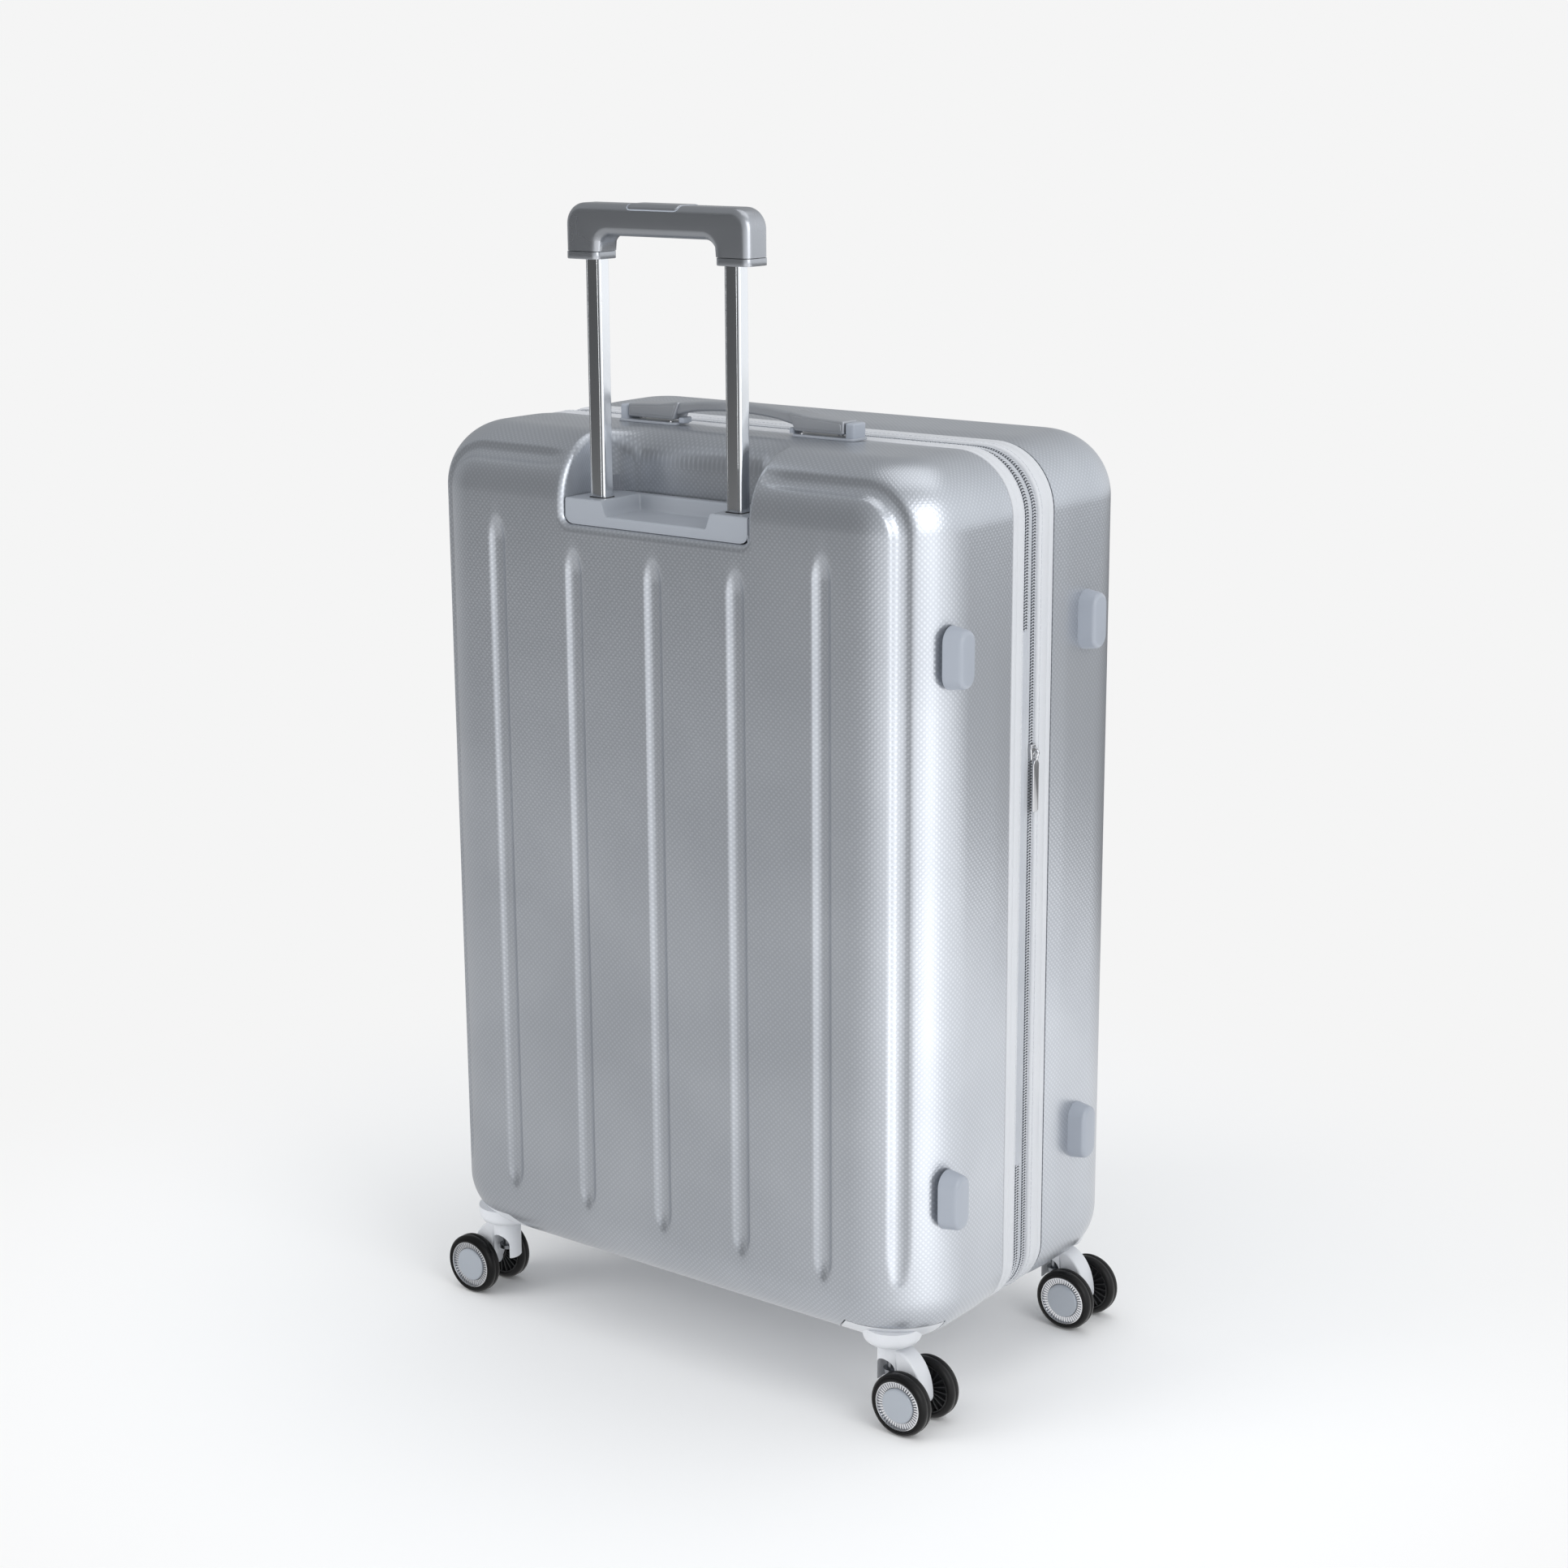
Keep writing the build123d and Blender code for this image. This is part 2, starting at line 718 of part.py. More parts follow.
# Carry handles
def handle_bar(plane, rise, shoulder_rise, end_rise, thickness, pin_height, name):
    """Arched bar with a solid wedge at each end; the wedges are bored for the guide pins."""
    end = handle_length / 2
    root = end - handle_wedge_length
    neck = root - handle_neck_slant
    shoulder = end - handle_plate_length + handle_neck_slant
    seat = handle_plate_thickness + handle_seat_gap
    underside = rise - thickness
    neck_rise = underside - handle_arch
    with BuildPart() as bar:
        with BuildSketch(plane.offset(-handle_bar_width / 2)):
            with BuildLine():
                ThreePointArc((-shoulder, shoulder_rise), (0, rise), (shoulder, shoulder_rise))
                Polyline(
                    (shoulder, shoulder_rise),
                    (end, end_rise),
                    (end, seat),
                    (root, seat),
                    (neck, neck_rise),
                )
                ThreePointArc((neck, neck_rise), (0, underside), (-neck, neck_rise))
                Polyline(
                    (-neck, neck_rise),
                    (-root, seat),
                    (-end, seat),
                    (-end, end_rise),
                    (-shoulder, shoulder_rise),
                )
            make_face()
        extrude(amount=handle_bar_width)
        sides = bar.faces().filter_by(Axis.Y).edges()
        crown = plane.origin + plane.y_dir * (shoulder_rise + end_rise) / 2
        upper = sides.filter_by(lambda edge: (edge.center() - crown).dot(plane.y_dir) > -wall / 2)
        fillet(upper, handle_edge_radius)
        with BuildSketch(Plane(origin=plane.origin, x_dir=plane.x_dir, z_dir=plane.y_dir)):
            with Locations((-handle_pin_spacing / 2, 0), (handle_pin_spacing / 2, 0)):
                Circle(handle_pin_diameter / 2 + handle_seat_gap)
        extrude(amount=handle_plate_thickness + pin_height + handle_seat_gap, mode=Mode.SUBTRACT)
    save(bar, name)


top_handle_y = back_y + top_handle_setback
side_handle_y = back_y + side_handle_setback
top_handle_place = (0, top_handle_y, shell_top)
side_handle_place = (-half_width, side_handle_y, side_handle_height)
top_handle_plane = Plane(origin=top_handle_place, x_dir=(1, 0, 0), z_dir=(0, -1, 0))
side_handle_plane = Plane(origin=side_handle_place, x_dir=(0, 0, 1), z_dir=(0, -1, 0))
handle_bar(
    top_handle_plane,
    top_handle_rise,
    top_handle_shoulder,
    top_handle_end,
    top_handle_thickness,
    top_handle_pin,
    "top_handle_bar",
)
handle_bar(
    side_handle_plane,
    foot_height,
    side_handle_shoulder,
    side_handle_end,
    side_handle_thickness,
    side_handle_pin,
    "side_handle_bar",
)

top_seat = Plane(origin=top_handle_place, x_dir=(1, 0, 0), z_dir=(0, 0, 1))
side_seat = Plane(origin=side_handle_place, x_dir=(0, 0, 1), z_dir=(-1, 0, 0))
plate_spacing = handle_length + 2 * handle_plate_margin - handle_plate_length
with BuildPart() as handle_plates:
    for seat_plane in (top_seat, side_seat):
        with BuildSketch(seat_plane):
            with Locations((-plate_spacing / 2, 0), (plate_spacing / 2, 0)):
                RectangleRounded(handle_plate_length, handle_plate_width, handle_plate_corner)
        extrude(amount=handle_plate_thickness)
save(handle_plates, "handle_plates")

with BuildPart() as handle_pins:
    for seat_plane, pin_height in ((top_seat, top_handle_pin), (side_seat, side_handle_pin)):
        with BuildSketch(seat_plane.offset(handle_plate_thickness)):
            with Locations((-handle_pin_spacing / 2, 0), (handle_pin_spacing / 2, 0)):
                Circle(handle_pin_diameter / 2)
        extrude(amount=pin_height)
save(handle_pins, "handle_pins")


# Castors
upwards = (Align.CENTER, Align.CENTER, Align.MIN)


def castor_housing(side, face_y, split_y, inwards, name):
    """Corner moulding in the form of the shell's own corner, with the swivel cup under it."""
    place = (side * castor_side, face_y + inwards * castor_setback)
    outer_form = half_body(face_y, split_y, 0)
    inner_form = half_body(face_y, split_y, housing_skin)
    region = housing_region(side, face_y, inwards, 0)
    shell_beside = pressed(outer_form, [region])
    with BuildPart() as housing:
        add(outer_form)
        add(region, mode=Mode.INTERSECT)
        add(inner_form, mode=Mode.SUBTRACT)
        with Locations((*place, cup_bottom)):
            Cylinder(cup_diameter / 2, cup_height, align=upwards)
            Cylinder(pin_diameter / 2, cup_height, align=upwards, mode=Mode.SUBTRACT)
        add(shell_beside, mode=Mode.SUBTRACT)
    save(housing, name)


def swivel_pins(face_y, inwards, name):
    """Pair of headed pins that the forks turn on."""
    cup_top = cup_bottom + cup_height
    with BuildPart() as pins:
        for side in (-1, 1):
            place = (side * castor_side, face_y + inwards * castor_setback)
            with Locations((*place, pin_bottom)):
                Cylinder(pin_diameter / 2, cup_top - pin_bottom, align=upwards)
                Cylinder(pin_head_diameter / 2, pin_head_height, align=upwards)
            with Locations((*place, cup_top)):
                Cylinder(pin_head_diameter / 2, pin_head_height, align=upwards)
    save(pins, name)


def castor_fork(side, y, name):
    """Stem and curved horn that carry the axle behind the swivel."""
    x = side * castor_side
    axle_x = side * castor_trail
    stem_radius = stem_diameter / 2
    stem_top = cup_bottom - stem_gap
    plane = Plane(origin=(x, y - horn_width / 2, 0), x_dir=(1, 0, 0), z_dir=(0, -1, 0))
    with BuildPart() as fork:
        with Locations((x, y, stem_bottom)):
            Cylinder(stem_radius, stem_top - stem_bottom, align=upwards)
        with BuildSketch(plane):
            with BuildLine():
                TangentArc(
                    (side * stem_radius / 2, stem_top),
                    (axle_x + side * horn_reach, axle_height),
                    tangent=(side, 0),
                )
                TangentArc(
                    (axle_x + side * horn_reach, axle_height),
                    (axle_x, axle_height - horn_hub_radius),
                    tangent=(0, -1),
                )
                RadiusArc(
                    (axle_x, axle_height - horn_hub_radius),
                    (axle_x - side * horn_hub_radius, axle_height),
                    side * horn_hub_radius,
                )
                Polyline(
                    (axle_x - side * horn_hub_radius, axle_height),
                    (side * stem_radius / 2, stem_bottom),
                    (side * stem_radius / 2, stem_top),
                )
            make_face()
        extrude(amount=-horn_width)
        with Locations((x, y, stem_bottom - wheel_diameter)):
            Cylinder(
                fork_cavity_diameter / 2,
                fork_cavity_top - stem_bottom + wheel_diameter,
                align=upwards,
                mode=Mode.SUBTRACT,
            )
            Cylinder(
                pin_diameter / 2 + pin_running_clearance,
                2 * wheel_diameter,
                align=upwards,
                mode=Mode.SUBTRACT,
            )
        with Locations(Location((x + axle_x, y, axle_height), (90, 0, 0))):
            Cylinder(axle_diameter / 2, 2 * horn_width, mode=Mode.SUBTRACT)
    save(fork, name)


def castor_axle(x, y, name):
    """Plain axle through the fork, ending inside both hubs."""
    length = wheel_track + wheel_width - 2 * axle_end_cover
    with BuildPart() as axle:
        with Locations(Location((x, y, axle_height), (90, 0, 0))):
            Cylinder(axle_diameter / 2, length)
    save(axle, name)


def castor_wheel(x, y, away, tyre_name, hub_name):
    """Tyre and hub of one wheel; away is -1 or 1 for the side its cap faces."""
    middle = y + away * wheel_track / 2
    face = middle + away * wheel_width / 2
    outer_plane = Plane(origin=(x, face, axle_height), x_dir=(1, 0, 0), z_dir=(0, away, 0))
    with BuildPart() as tyre:
        with BuildSketch(outer_plane):
            Circle(wheel_diameter / 2)
            Circle(tyre_inner_diameter / 2, mode=Mode.SUBTRACT)
        extrude(amount=-wheel_width)
        circles = tyre.edges().filter_by(GeomType.CIRCLE)
        rims = circles.filter_by(lambda edge: edge.radius > tyre_inner_diameter / 2 + tyre_edge_radius)
        fillet(rims, tyre_edge_radius)
    save(tyre, tyre_name)
    with BuildPart() as hub:
        with BuildSketch(outer_plane):
            Circle(tyre_inner_diameter / 2)
        extrude(amount=-wheel_width)
        with BuildSketch(outer_plane):
            Circle(tyre_inner_diameter / 2 - wall / 2)
            Circle(hub_cap_diameter / 2, mode=Mode.SUBTRACT)
        extrude(amount=-hub_dish_depth, mode=Mode.SUBTRACT)
        with BuildSketch(outer_plane.offset(-wheel_width)):
            Circle(tyre_inner_diameter / 2 - wall)
            Circle(hub_cap_diameter / 2 - wall, mode=Mode.SUBTRACT)
        extrude(amount=hub_dish_depth, mode=Mode.SUBTRACT)
        with BuildSketch(outer_plane.offset(-wheel_width)):
            Circle(axle_diameter / 2 + axle_running_clearance)
        extrude(amount=wheel_width - axle_end_cover + axle_running_clearance, mode=Mode.SUBTRACT)
    save(hub, hub_name)


halves = (("back", back_y, back_split, 1), ("front", front_y, front_split, -1))
for end, face_y, split_y, inwards in halves:
    swivel_pins(face_y, inwards, f"{end}_swivel_pins")
    for hand, side in (("left", -1), ("right", 1)):
        castor = f"{end}_{hand}"
        castor_y = face_y + inwards * castor_setback
        axle_x = side * (castor_side + castor_trail)
        castor_housing(side, face_y, split_y, inwards, f"{castor}_housing")
        castor_fork(side, castor_y, f"{castor}_fork")
        castor_axle(axle_x, castor_y, f"{castor}_axle")
        for number, away in ((1, -1), (2, 1)):
            castor_wheel(axle_x, castor_y, away, f"{castor}_tyre_{number}", f"{castor}_hub_{number}")


# Zip sliders and their pulls
def zip_slider(side, y, z, name):
    """Slider body on the zip with a bridge for the pull."""
    foot = side * (zip_face_x + slider_gap)
    plane = Plane(origin=(foot, y, z), x_dir=(0, 1, 0), z_dir=(side, 0, 0))
    with BuildPart() as slider:
        with BuildSketch(plane):
            RectangleRounded(slider_width, slider_length, slider_corner)
        extrude(amount=slider_height)
        with BuildSketch(plane.offset(slider_height)):
            Rectangle(bridge_width, bridge_length)
        extrude(amount=bridge_height)
        with BuildSketch(plane.offset(slider_height)):
            Rectangle(bridge_width, bridge_length - 2 * bridge_post)
        extrude(amount=bridge_height - bridge_bar, mode=Mode.SUBTRACT)
    save(slider, name)


def zip_pull(side, y, z, name):
    """Flat pull tab whose crossbar runs under the bridge, hanging down."""
    stand = side * (zip_face_x + slider_gap + slider_height + pull_gap)
    plane = Plane(origin=(stand, y, z), x_dir=(0, 1, 0), z_dir=(side, 0, 0))
    with BuildPart() as pull:
        with BuildSketch(plane):
            with Locations((0, side * (pull_crossbar - pull_length) / 2)):
                RectangleRounded(pull_width, pull_length, pull_corner)
            with Locations((0, -side * (pull_crossbar + pull_eye_length) / 2)):
                Rectangle(bridge_width + 2 * pull_eye_gap, pull_eye_length, mode=Mode.SUBTRACT)
        extrude(amount=pull_thickness)
    save(pull, name)


main_zip_y = main_tape_y + tape_width + lid_gap / 2
expander_zip_y = expander_tape_y - lid_gap / 2
zip_slider(-1, main_zip_y, main_slider_height, "main_zip_slider")
zip_pull(-1, main_zip_y, main_slider_height, "main_zip_pull")
zip_slider(1, expander_zip_y, expander_slider_height, "expander_zip_slider")
zip_pull(1, expander_zip_y, expander_slider_height, "expander_zip_pull")
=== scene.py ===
"""Hard shell suitcase on four double castors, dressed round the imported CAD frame.

All shapes are written in millimetres in the frame's own axes: X runs across the case towards the
hinge side, Y from the trolley face to the lid, Z up from the floor.
"""

import json
import logging
import math
from dataclasses import dataclass
from enum import Enum
from typing import Any, Callable, Sequence

import bmesh
import bpy
import numpy as np
from mathutils import Matrix, Vector


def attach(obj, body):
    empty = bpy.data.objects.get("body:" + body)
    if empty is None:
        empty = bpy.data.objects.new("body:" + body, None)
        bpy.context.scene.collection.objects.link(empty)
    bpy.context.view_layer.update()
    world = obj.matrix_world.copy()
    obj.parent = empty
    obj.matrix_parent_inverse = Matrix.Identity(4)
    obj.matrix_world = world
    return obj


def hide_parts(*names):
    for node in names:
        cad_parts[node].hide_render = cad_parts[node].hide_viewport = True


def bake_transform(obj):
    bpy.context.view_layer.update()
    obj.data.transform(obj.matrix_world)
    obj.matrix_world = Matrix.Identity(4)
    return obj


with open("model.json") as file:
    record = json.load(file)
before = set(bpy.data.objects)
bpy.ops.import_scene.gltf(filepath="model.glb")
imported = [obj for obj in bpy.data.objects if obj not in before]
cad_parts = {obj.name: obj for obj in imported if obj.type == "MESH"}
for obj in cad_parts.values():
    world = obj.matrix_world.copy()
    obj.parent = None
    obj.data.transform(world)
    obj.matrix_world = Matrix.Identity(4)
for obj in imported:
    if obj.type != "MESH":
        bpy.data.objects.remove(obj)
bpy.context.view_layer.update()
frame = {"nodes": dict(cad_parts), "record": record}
NODE_BODY = {
    node: body for body, nodes in frame["record"]["behaviour"]["bodies"].items() for node in nodes
}
MM = 0.001
log = logging.getLogger("suitcase")

Array = np.ndarray
Tree = bpy.types.NodeTree
Socket = bpy.types.NodeSocket
Obj = bpy.types.Object
Mesh = bpy.types.Mesh
Pair = tuple[float, float]
Triple = tuple[float, float, float]
Place = Callable[[Array, Array, Array], Array]
Modifiers = Sequence[tuple[str, dict]]


# Materials

def linear(colour: str) -> tuple[float, float, float, float]:
    """Turn an sRGB hex colour into linear values.

    Args:
        colour: Six hex digits.

    Returns:
        Linear red, green, blue and an alpha of one.
    """
    parts = [int(colour[i:i + 2], 16) / 255 for i in (0, 2, 4)]
    low = [c / 12.92 if c <= 0.04045 else ((c + 0.055) / 1.055) ** 2.4 for c in parts]
    return (low[0], low[1], low[2], 1.0)


def add_node(tree: Tree, kind: str, inputs: dict | None = None, **settings: Any) -> bpy.types.Node:
    """Add a node with its settings, values and links.

    Args:
        tree: Tree that takes the node.
        kind: Blender's name of the node type.
        inputs: Value or source socket for each input, by name or number.
        settings: Properties of the node.

    Returns:
        The new node.
    """
    node = tree.nodes.new(kind)
    for key, value in settings.items():
        setattr(node, key, value)
    for key, value in (inputs or {}).items():
        if isinstance(value, Socket):
            tree.links.new(value, node.inputs[key])
        else:
            node.inputs[key].default_value = value
    return node


class Pattern(Enum):
    """How the surface of a finish is broken up."""

    PLAIN = "plain"
    TWILL = "twill"
    WEAVE = "weave"
    BRUSHED = "brushed"
    GRAIN = "grain"


# A wave texture of scale 1 repeats every tenth of pi.
WAVE_PERIOD = math.pi / 10


@dataclass(frozen=True)
class Finish:
    """One material, named for what it is made of; pitch and relief are in millimetres."""

    name: str
    colour: str
    # Second colour, mixed in by a random mottle and, in the pattern's low points, as painted shade.
    shade: str
    roughness: float
    metallic: float = 0.0
    ior: float = 1.5
    pattern: Pattern = Pattern.GRAIN
    pitch: float = 0.8
    relief: float = 0.02
    contrast: float = 0.25
    coat: float = 0.0
    cloud: float = 60.0

    def height(self, tree: Tree) -> Socket | None:
        """Build the pattern.

        Args:
            tree: Tree of the material.

        Returns:
            Socket with the pattern's height from 0 to 1, or None for a plain surface.
        """
        if self.pattern is Pattern.PLAIN:
            return None
        place = add_node(tree, "ShaderNodeTexCoord")
        step = self.pitch * MM
        if self.pattern in (Pattern.GRAIN, Pattern.BRUSHED):
            along = 80.0 if self.pattern is Pattern.BRUSHED else 1.0
            scaled = add_node(tree, "ShaderNodeMapping",
                              {0: place.outputs["Object"], "Scale": (1 / step, 1 / step, 1 / step / along)})
            noise = add_node(tree, "ShaderNodeTexNoise", {0: scaled.outputs[0], "Scale": 1.0, "Detail": 2.0})
            return noise.outputs["Fac"]
        source, axes, joining, share = place.outputs["Object"], "XYZ", "ADD", 1 / 3
        if self.pattern is Pattern.TWILL:
            turned = add_node(tree, "ShaderNodeMapping",
                              {0: place.outputs["UV"], "Rotation": (0, 0, math.radians(45))})
            source, axes, joining, share = turned.outputs[0], "XY", "MULTIPLY", 1.0
        total = None
        for axis in axes:
            wave = add_node(tree, "ShaderNodeTexWave", {0: source, "Scale": WAVE_PERIOD / step},
                            bands_direction=axis)
            level = wave.outputs["Fac"]
            if total is not None:
                level = add_node(tree, "ShaderNodeMath", {0: total, 1: level}, operation=joining).outputs[0]
            total = level
        return add_node(tree, "ShaderNodeMath", {0: total, 1: share}, operation="MULTIPLY").outputs[0]

    def material(self) -> bpy.types.Material:
        """Build the material once and return it."""
        made = bpy.data.materials.get(self.name)
        if made:
            return made
        made = bpy.data.materials.new(self.name)
        made.use_nodes = True
        tree = made.node_tree
        tree.nodes.clear()
        place = add_node(tree, "ShaderNodeTexCoord")
        cloud = add_node(tree, "ShaderNodeTexNoise",
                         {0: place.outputs["Object"], "Scale": 1 / (self.cloud * MM), "Detail": 3.0})
        mottle = add_node(tree, "ShaderNodeMapRange",
                          {0: cloud.outputs["Fac"], 1: 0.35, 2: 0.65, 3: 0.0, 4: self.contrast * 0.5})
        height = self.height(tree)
        amount = mottle.outputs[0]
        if height is not None:
            # Low points of the pattern take the second colour: painted shade in the hollows of the twill and
            # weave, random tone in grain and brushed noise.
            hollow_shade_and_tone = add_node(tree, "ShaderNodeMapRange", {0: height, 1: 1.0, 2: 0.0, 3: 0.0, 4: self.contrast})
            both = add_node(tree, "ShaderNodeMath", {0: amount, 1: hollow_shade_and_tone.outputs[0]}, use_clamp=True)
            amount = both.outputs[0]
        colour = add_node(tree, "ShaderNodeMix", {0: amount, 6: linear(self.colour), 7: linear(self.shade)},
                          data_type="RGBA")
        smooth, dull = self.roughness * 0.92, self.roughness * 1.08
        rough = add_node(tree, "ShaderNodeMapRange",
                         {0: cloud.outputs["Fac"], 1: 0.3, 2: 0.7, 3: smooth, 4: dull})
        shader = add_node(tree, "ShaderNodeBsdfPrincipled", {
            "Base Color": colour.outputs[2],
            "Roughness": rough.outputs[0],
            "Metallic": self.metallic,
            "IOR": self.ior,
            "Coat Weight": self.coat,
            "Coat Roughness": 0.15,
        })
        if height is not None and self.relief > 0:
            bump = add_node(tree, "ShaderNodeBump",
                            {"Strength": 1.0, "Distance": self.relief * MM, "Height": height})
            tree.links.new(bump.outputs[0], shader.inputs["Normal"])
        add_node(tree, "ShaderNodeOutputMaterial", {0: shader.outputs[0]})
        return made


# Polycarbonate sheet with a metallic top layer, embossed before pressing: satin, with a fine diamond.
# The real diamond is about 1.5 mm and is drawn twice as coarse, so that it shows.
SHELL = Finish("embossed_metallic_polycarbonate", "C3C7CD", "999DA4", 0.33, metallic=0.78,
               pattern=Pattern.TWILL, pitch=3.2, relief=0.07, contrast=0.42, cloud=140)
# Moulded white polypropylene of the corner housings and forks: smooth, slightly translucent white.
CASTOR = Finish("white_moulded_polypropylene", "D8DADE", "CACDD2", 0.38, pitch=0.6, relief=0.008)
# Extruded soft vinyl welt: white with faint lines along it.
PIPING = Finish("white_vinyl_welt", "CFD1D5", "BFC2C7", 0.42, pitch=0.7, relief=0.012)
# Woven polyester tape: thread every 0.5 mm, drawn at 0.9 mm.
TAPE = Finish("white_polyester_zip_tape", "C4C7CC", "9FA3AA", 0.85, pattern=Pattern.WEAVE, pitch=0.9,
              relief=0.06, contrast=0.5)
# Silver coated coil: small bright ridges with dark gaps.
COIL = Finish("silver_coated_zip_coil", "C3C6CB", "8E9299", 0.3, metallic=0.8, pattern=Pattern.PLAIN)
# Cord core under the teeth: coloured dark as painted shade, so that the gaps between the teeth show dark.
ZIP_CORE_SHADE = Finish("zip_core_painted_shade", "3A3C41", "2B2D31", 0.8, pattern=Pattern.WEAVE, pitch=0.9, relief=0.04)
# Sewing thread: white spun polyester.
THREAD = Finish("white_sewing_thread", "D5D7DB", "B9BCC2", 0.7, pitch=0.3, relief=0.02)
# Woven polyester of the expander gusset and hinge: plain weave.
GUSSET = Finish("pale_grey_polyester_cloth", "C2C5CB", "A2A6AD", 0.9, pattern=Pattern.WEAVE, pitch=1.1,
                relief=0.08, contrast=0.5)
# Lining cloth: thin grey polyester with a soft sheen.
LINING = Finish("grey_polyester_lining", "8B8F97", "6E727A", 0.7, pattern=Pattern.WEAVE, pitch=1.6,
                relief=0.08, contrast=0.5)
# Webbing of the packing straps: coarse ribbed weave.
WEBBING = Finish("dark_grey_webbing", "4C5057", "33363C", 0.85, pattern=Pattern.WEAVE, pitch=1.4, relief=0.15,
                 contrast=0.6)
# Smooth moulded ABS of feet and bezel: pale blue-grey with a light satin sheen.
FOOT = Finish("pale_grey_moulded_abs", "A2A8B2", "949AA4", 0.34, pitch=0.5, relief=0.006)
BEZEL = Finish("light_grey_moulded_abs", "999EA6", "8B9098", 0.3, pitch=0.5, relief=0.005)
INNER = Finish("black_moulded_nylon", "2A2B2D", "1F2022", 0.5, pitch=0.6, relief=0.01)
# Grip and carry handles: ABS sprayed with a silver paint, so that a side that faces the light is bright.
GRIP = Finish("silver_painted_abs", "A4A7AC", "94979D", 0.28, metallic=0.85, pitch=0.5, relief=0.008)
HANDLE = Finish("silver_painted_handle_abs", "A4A7AC", "94979D", 0.34, metallic=0.5, pitch=0.5, relief=0.008)
# Extruded aluminium, anodised: satin with drawing lines along the tube.
TUBE = Finish("satin_anodised_aluminium", "E2E4E7", "CDD0D4", 0.17, metallic=1.0, pattern=Pattern.BRUSHED,
              pitch=2.5, relief=0.0, contrast=0.2)
SLEEVE = Finish("mill_aluminium", "A9ACB0", "94979B", 0.4, metallic=1.0, pattern=Pattern.BRUSHED, pitch=0.7,
                relief=0.01)
# Die-cast zinc with nickel plate: mirror bright.
BRIGHT = Finish("nickel_plated_zinc", "B4B5B8", "9FA1A5", 0.18, metallic=1.0, pattern=Pattern.PLAIN)
STEEL = Finish("zinc_plated_steel", "8E9196", "6F7277", 0.32, metallic=1.0, pitch=0.5, relief=0.008)
# Thermoplastic rubber tread: black with a dull sheen.
TYRE = Finish("black_thermoplastic_rubber", "0E0E0F", "090909", 0.38, ior=1.3, pitch=0.5, relief=0.012)
HUB = Finish("grey_painted_hub_cap", "AAB0B8", "9DA3AC", 0.32, metallic=0.25, pitch=0.4, relief=0.006)
RING = Finish("chromed_hub_ring", "DDDEE1", "BFC2C6", 0.2, metallic=0.9, pattern=Pattern.PLAIN)


# Outlines and forms

def rounded(points: Sequence[Pair], radii: float | Sequence[float], steps: int = 6) -> Array:
    """Turn every corner of a closed outline by an arc.

    Args:
        points: Corners in order.
        radii: One radius for all corners, or one for each.
        steps: Steps in each arc.

    Returns:
        Points of the outline, one row each.
    """
    corners = np.array(points, float)
    sizes = [radii] * len(corners) if isinstance(radii, (int, float)) else list(radii)
    result = []
    for index, corner in enumerate(corners):
        before = corners[index - 1] - corner
        after = corners[(index + 1) % len(corners)] - corner
        before /= np.linalg.norm(before)
        after /= np.linalg.norm(after)
        angle = math.acos(max(-1.0, min(1.0, float(before @ after))))
        radius = sizes[index]
        if radius <= 0 or angle > math.pi - 1e-3:
            result.append(corner)
            continue
        reach = radius / math.tan(angle / 2)
        middle = (before + after) / np.linalg.norm(before + after)
        centre = corner + middle * radius / math.sin(angle / 2)
        start, end = corner + before * reach - centre, corner + after * reach - centre
        sweep = math.pi - angle
        for step in range(steps + 1):
            share = step / steps
            mixed = (math.sin((1 - share) * sweep) * start + math.sin(share * sweep) * end) / math.sin(sweep)
            result.append(centre + mixed)
    return np.array(result)


def moved_in(outline: Array, amount: float) -> Array:
    """Move a counterclockwise outline inwards along its corner bisectors.

    Args:
        outline: Points in order.
        amount: Distance, outwards if negative.

    Returns:
        The moved points.
    """
    into = outline - np.roll(outline, 1, 0)
    out = np.roll(outline, -1, 0) - outline
    into /= np.maximum(np.linalg.norm(into, axis=1), 1e-9)[:, None]
    out /= np.maximum(np.linalg.norm(out, axis=1), 1e-9)[:, None]
    left_in = np.stack([-into[:, 1], into[:, 0]], 1)
    left_out = np.stack([-out[:, 1], out[:, 0]], 1)
    spread = np.maximum(1 + (left_in * left_out).sum(1), 0.25)
    return outline + amount * (left_in + left_out) / spread[:, None]


def counterclockwise(outline: Array) -> Array:
    """Outline turned so that its inside is on the left."""
    x, y = outline[:, 0], outline[:, 1]
    area = (x * np.roll(y, -1) - np.roll(x, -1) * y).sum()
    return outline if area > 0 else outline[::-1]


def filled(loop: Array, spacing: float) -> Array:
    """Closed outline with further points along its long edges.

    Args:
        loop: Points in order.
        spacing: Largest step wanted.

    Returns:
        The denser outline.
    """
    dense: list[Array] = []
    for start, end in zip(loop, np.roll(loop, -1, 0)):
        steps = max(1, int(np.linalg.norm(end - start) / spacing))
        dense += [start + (end - start) * k / steps for k in range(steps)]
    return np.array(dense)


def rectangle(half_a: float, half_b: float, radius: float, steps: int = 6) -> Array:
    """Rectangle round the origin with rounded corners.

    Args:
        half_a: Half its first size.
        half_b: Half its second size.
        radius: Corner radius.
        steps: Steps in each corner.

    Returns:
        Points of the outline, counterclockwise.
    """
    corners = [(-half_a, -half_b), (half_a, -half_b), (half_a, half_b), (-half_a, half_b)]
    return rounded(corners, radius, steps)


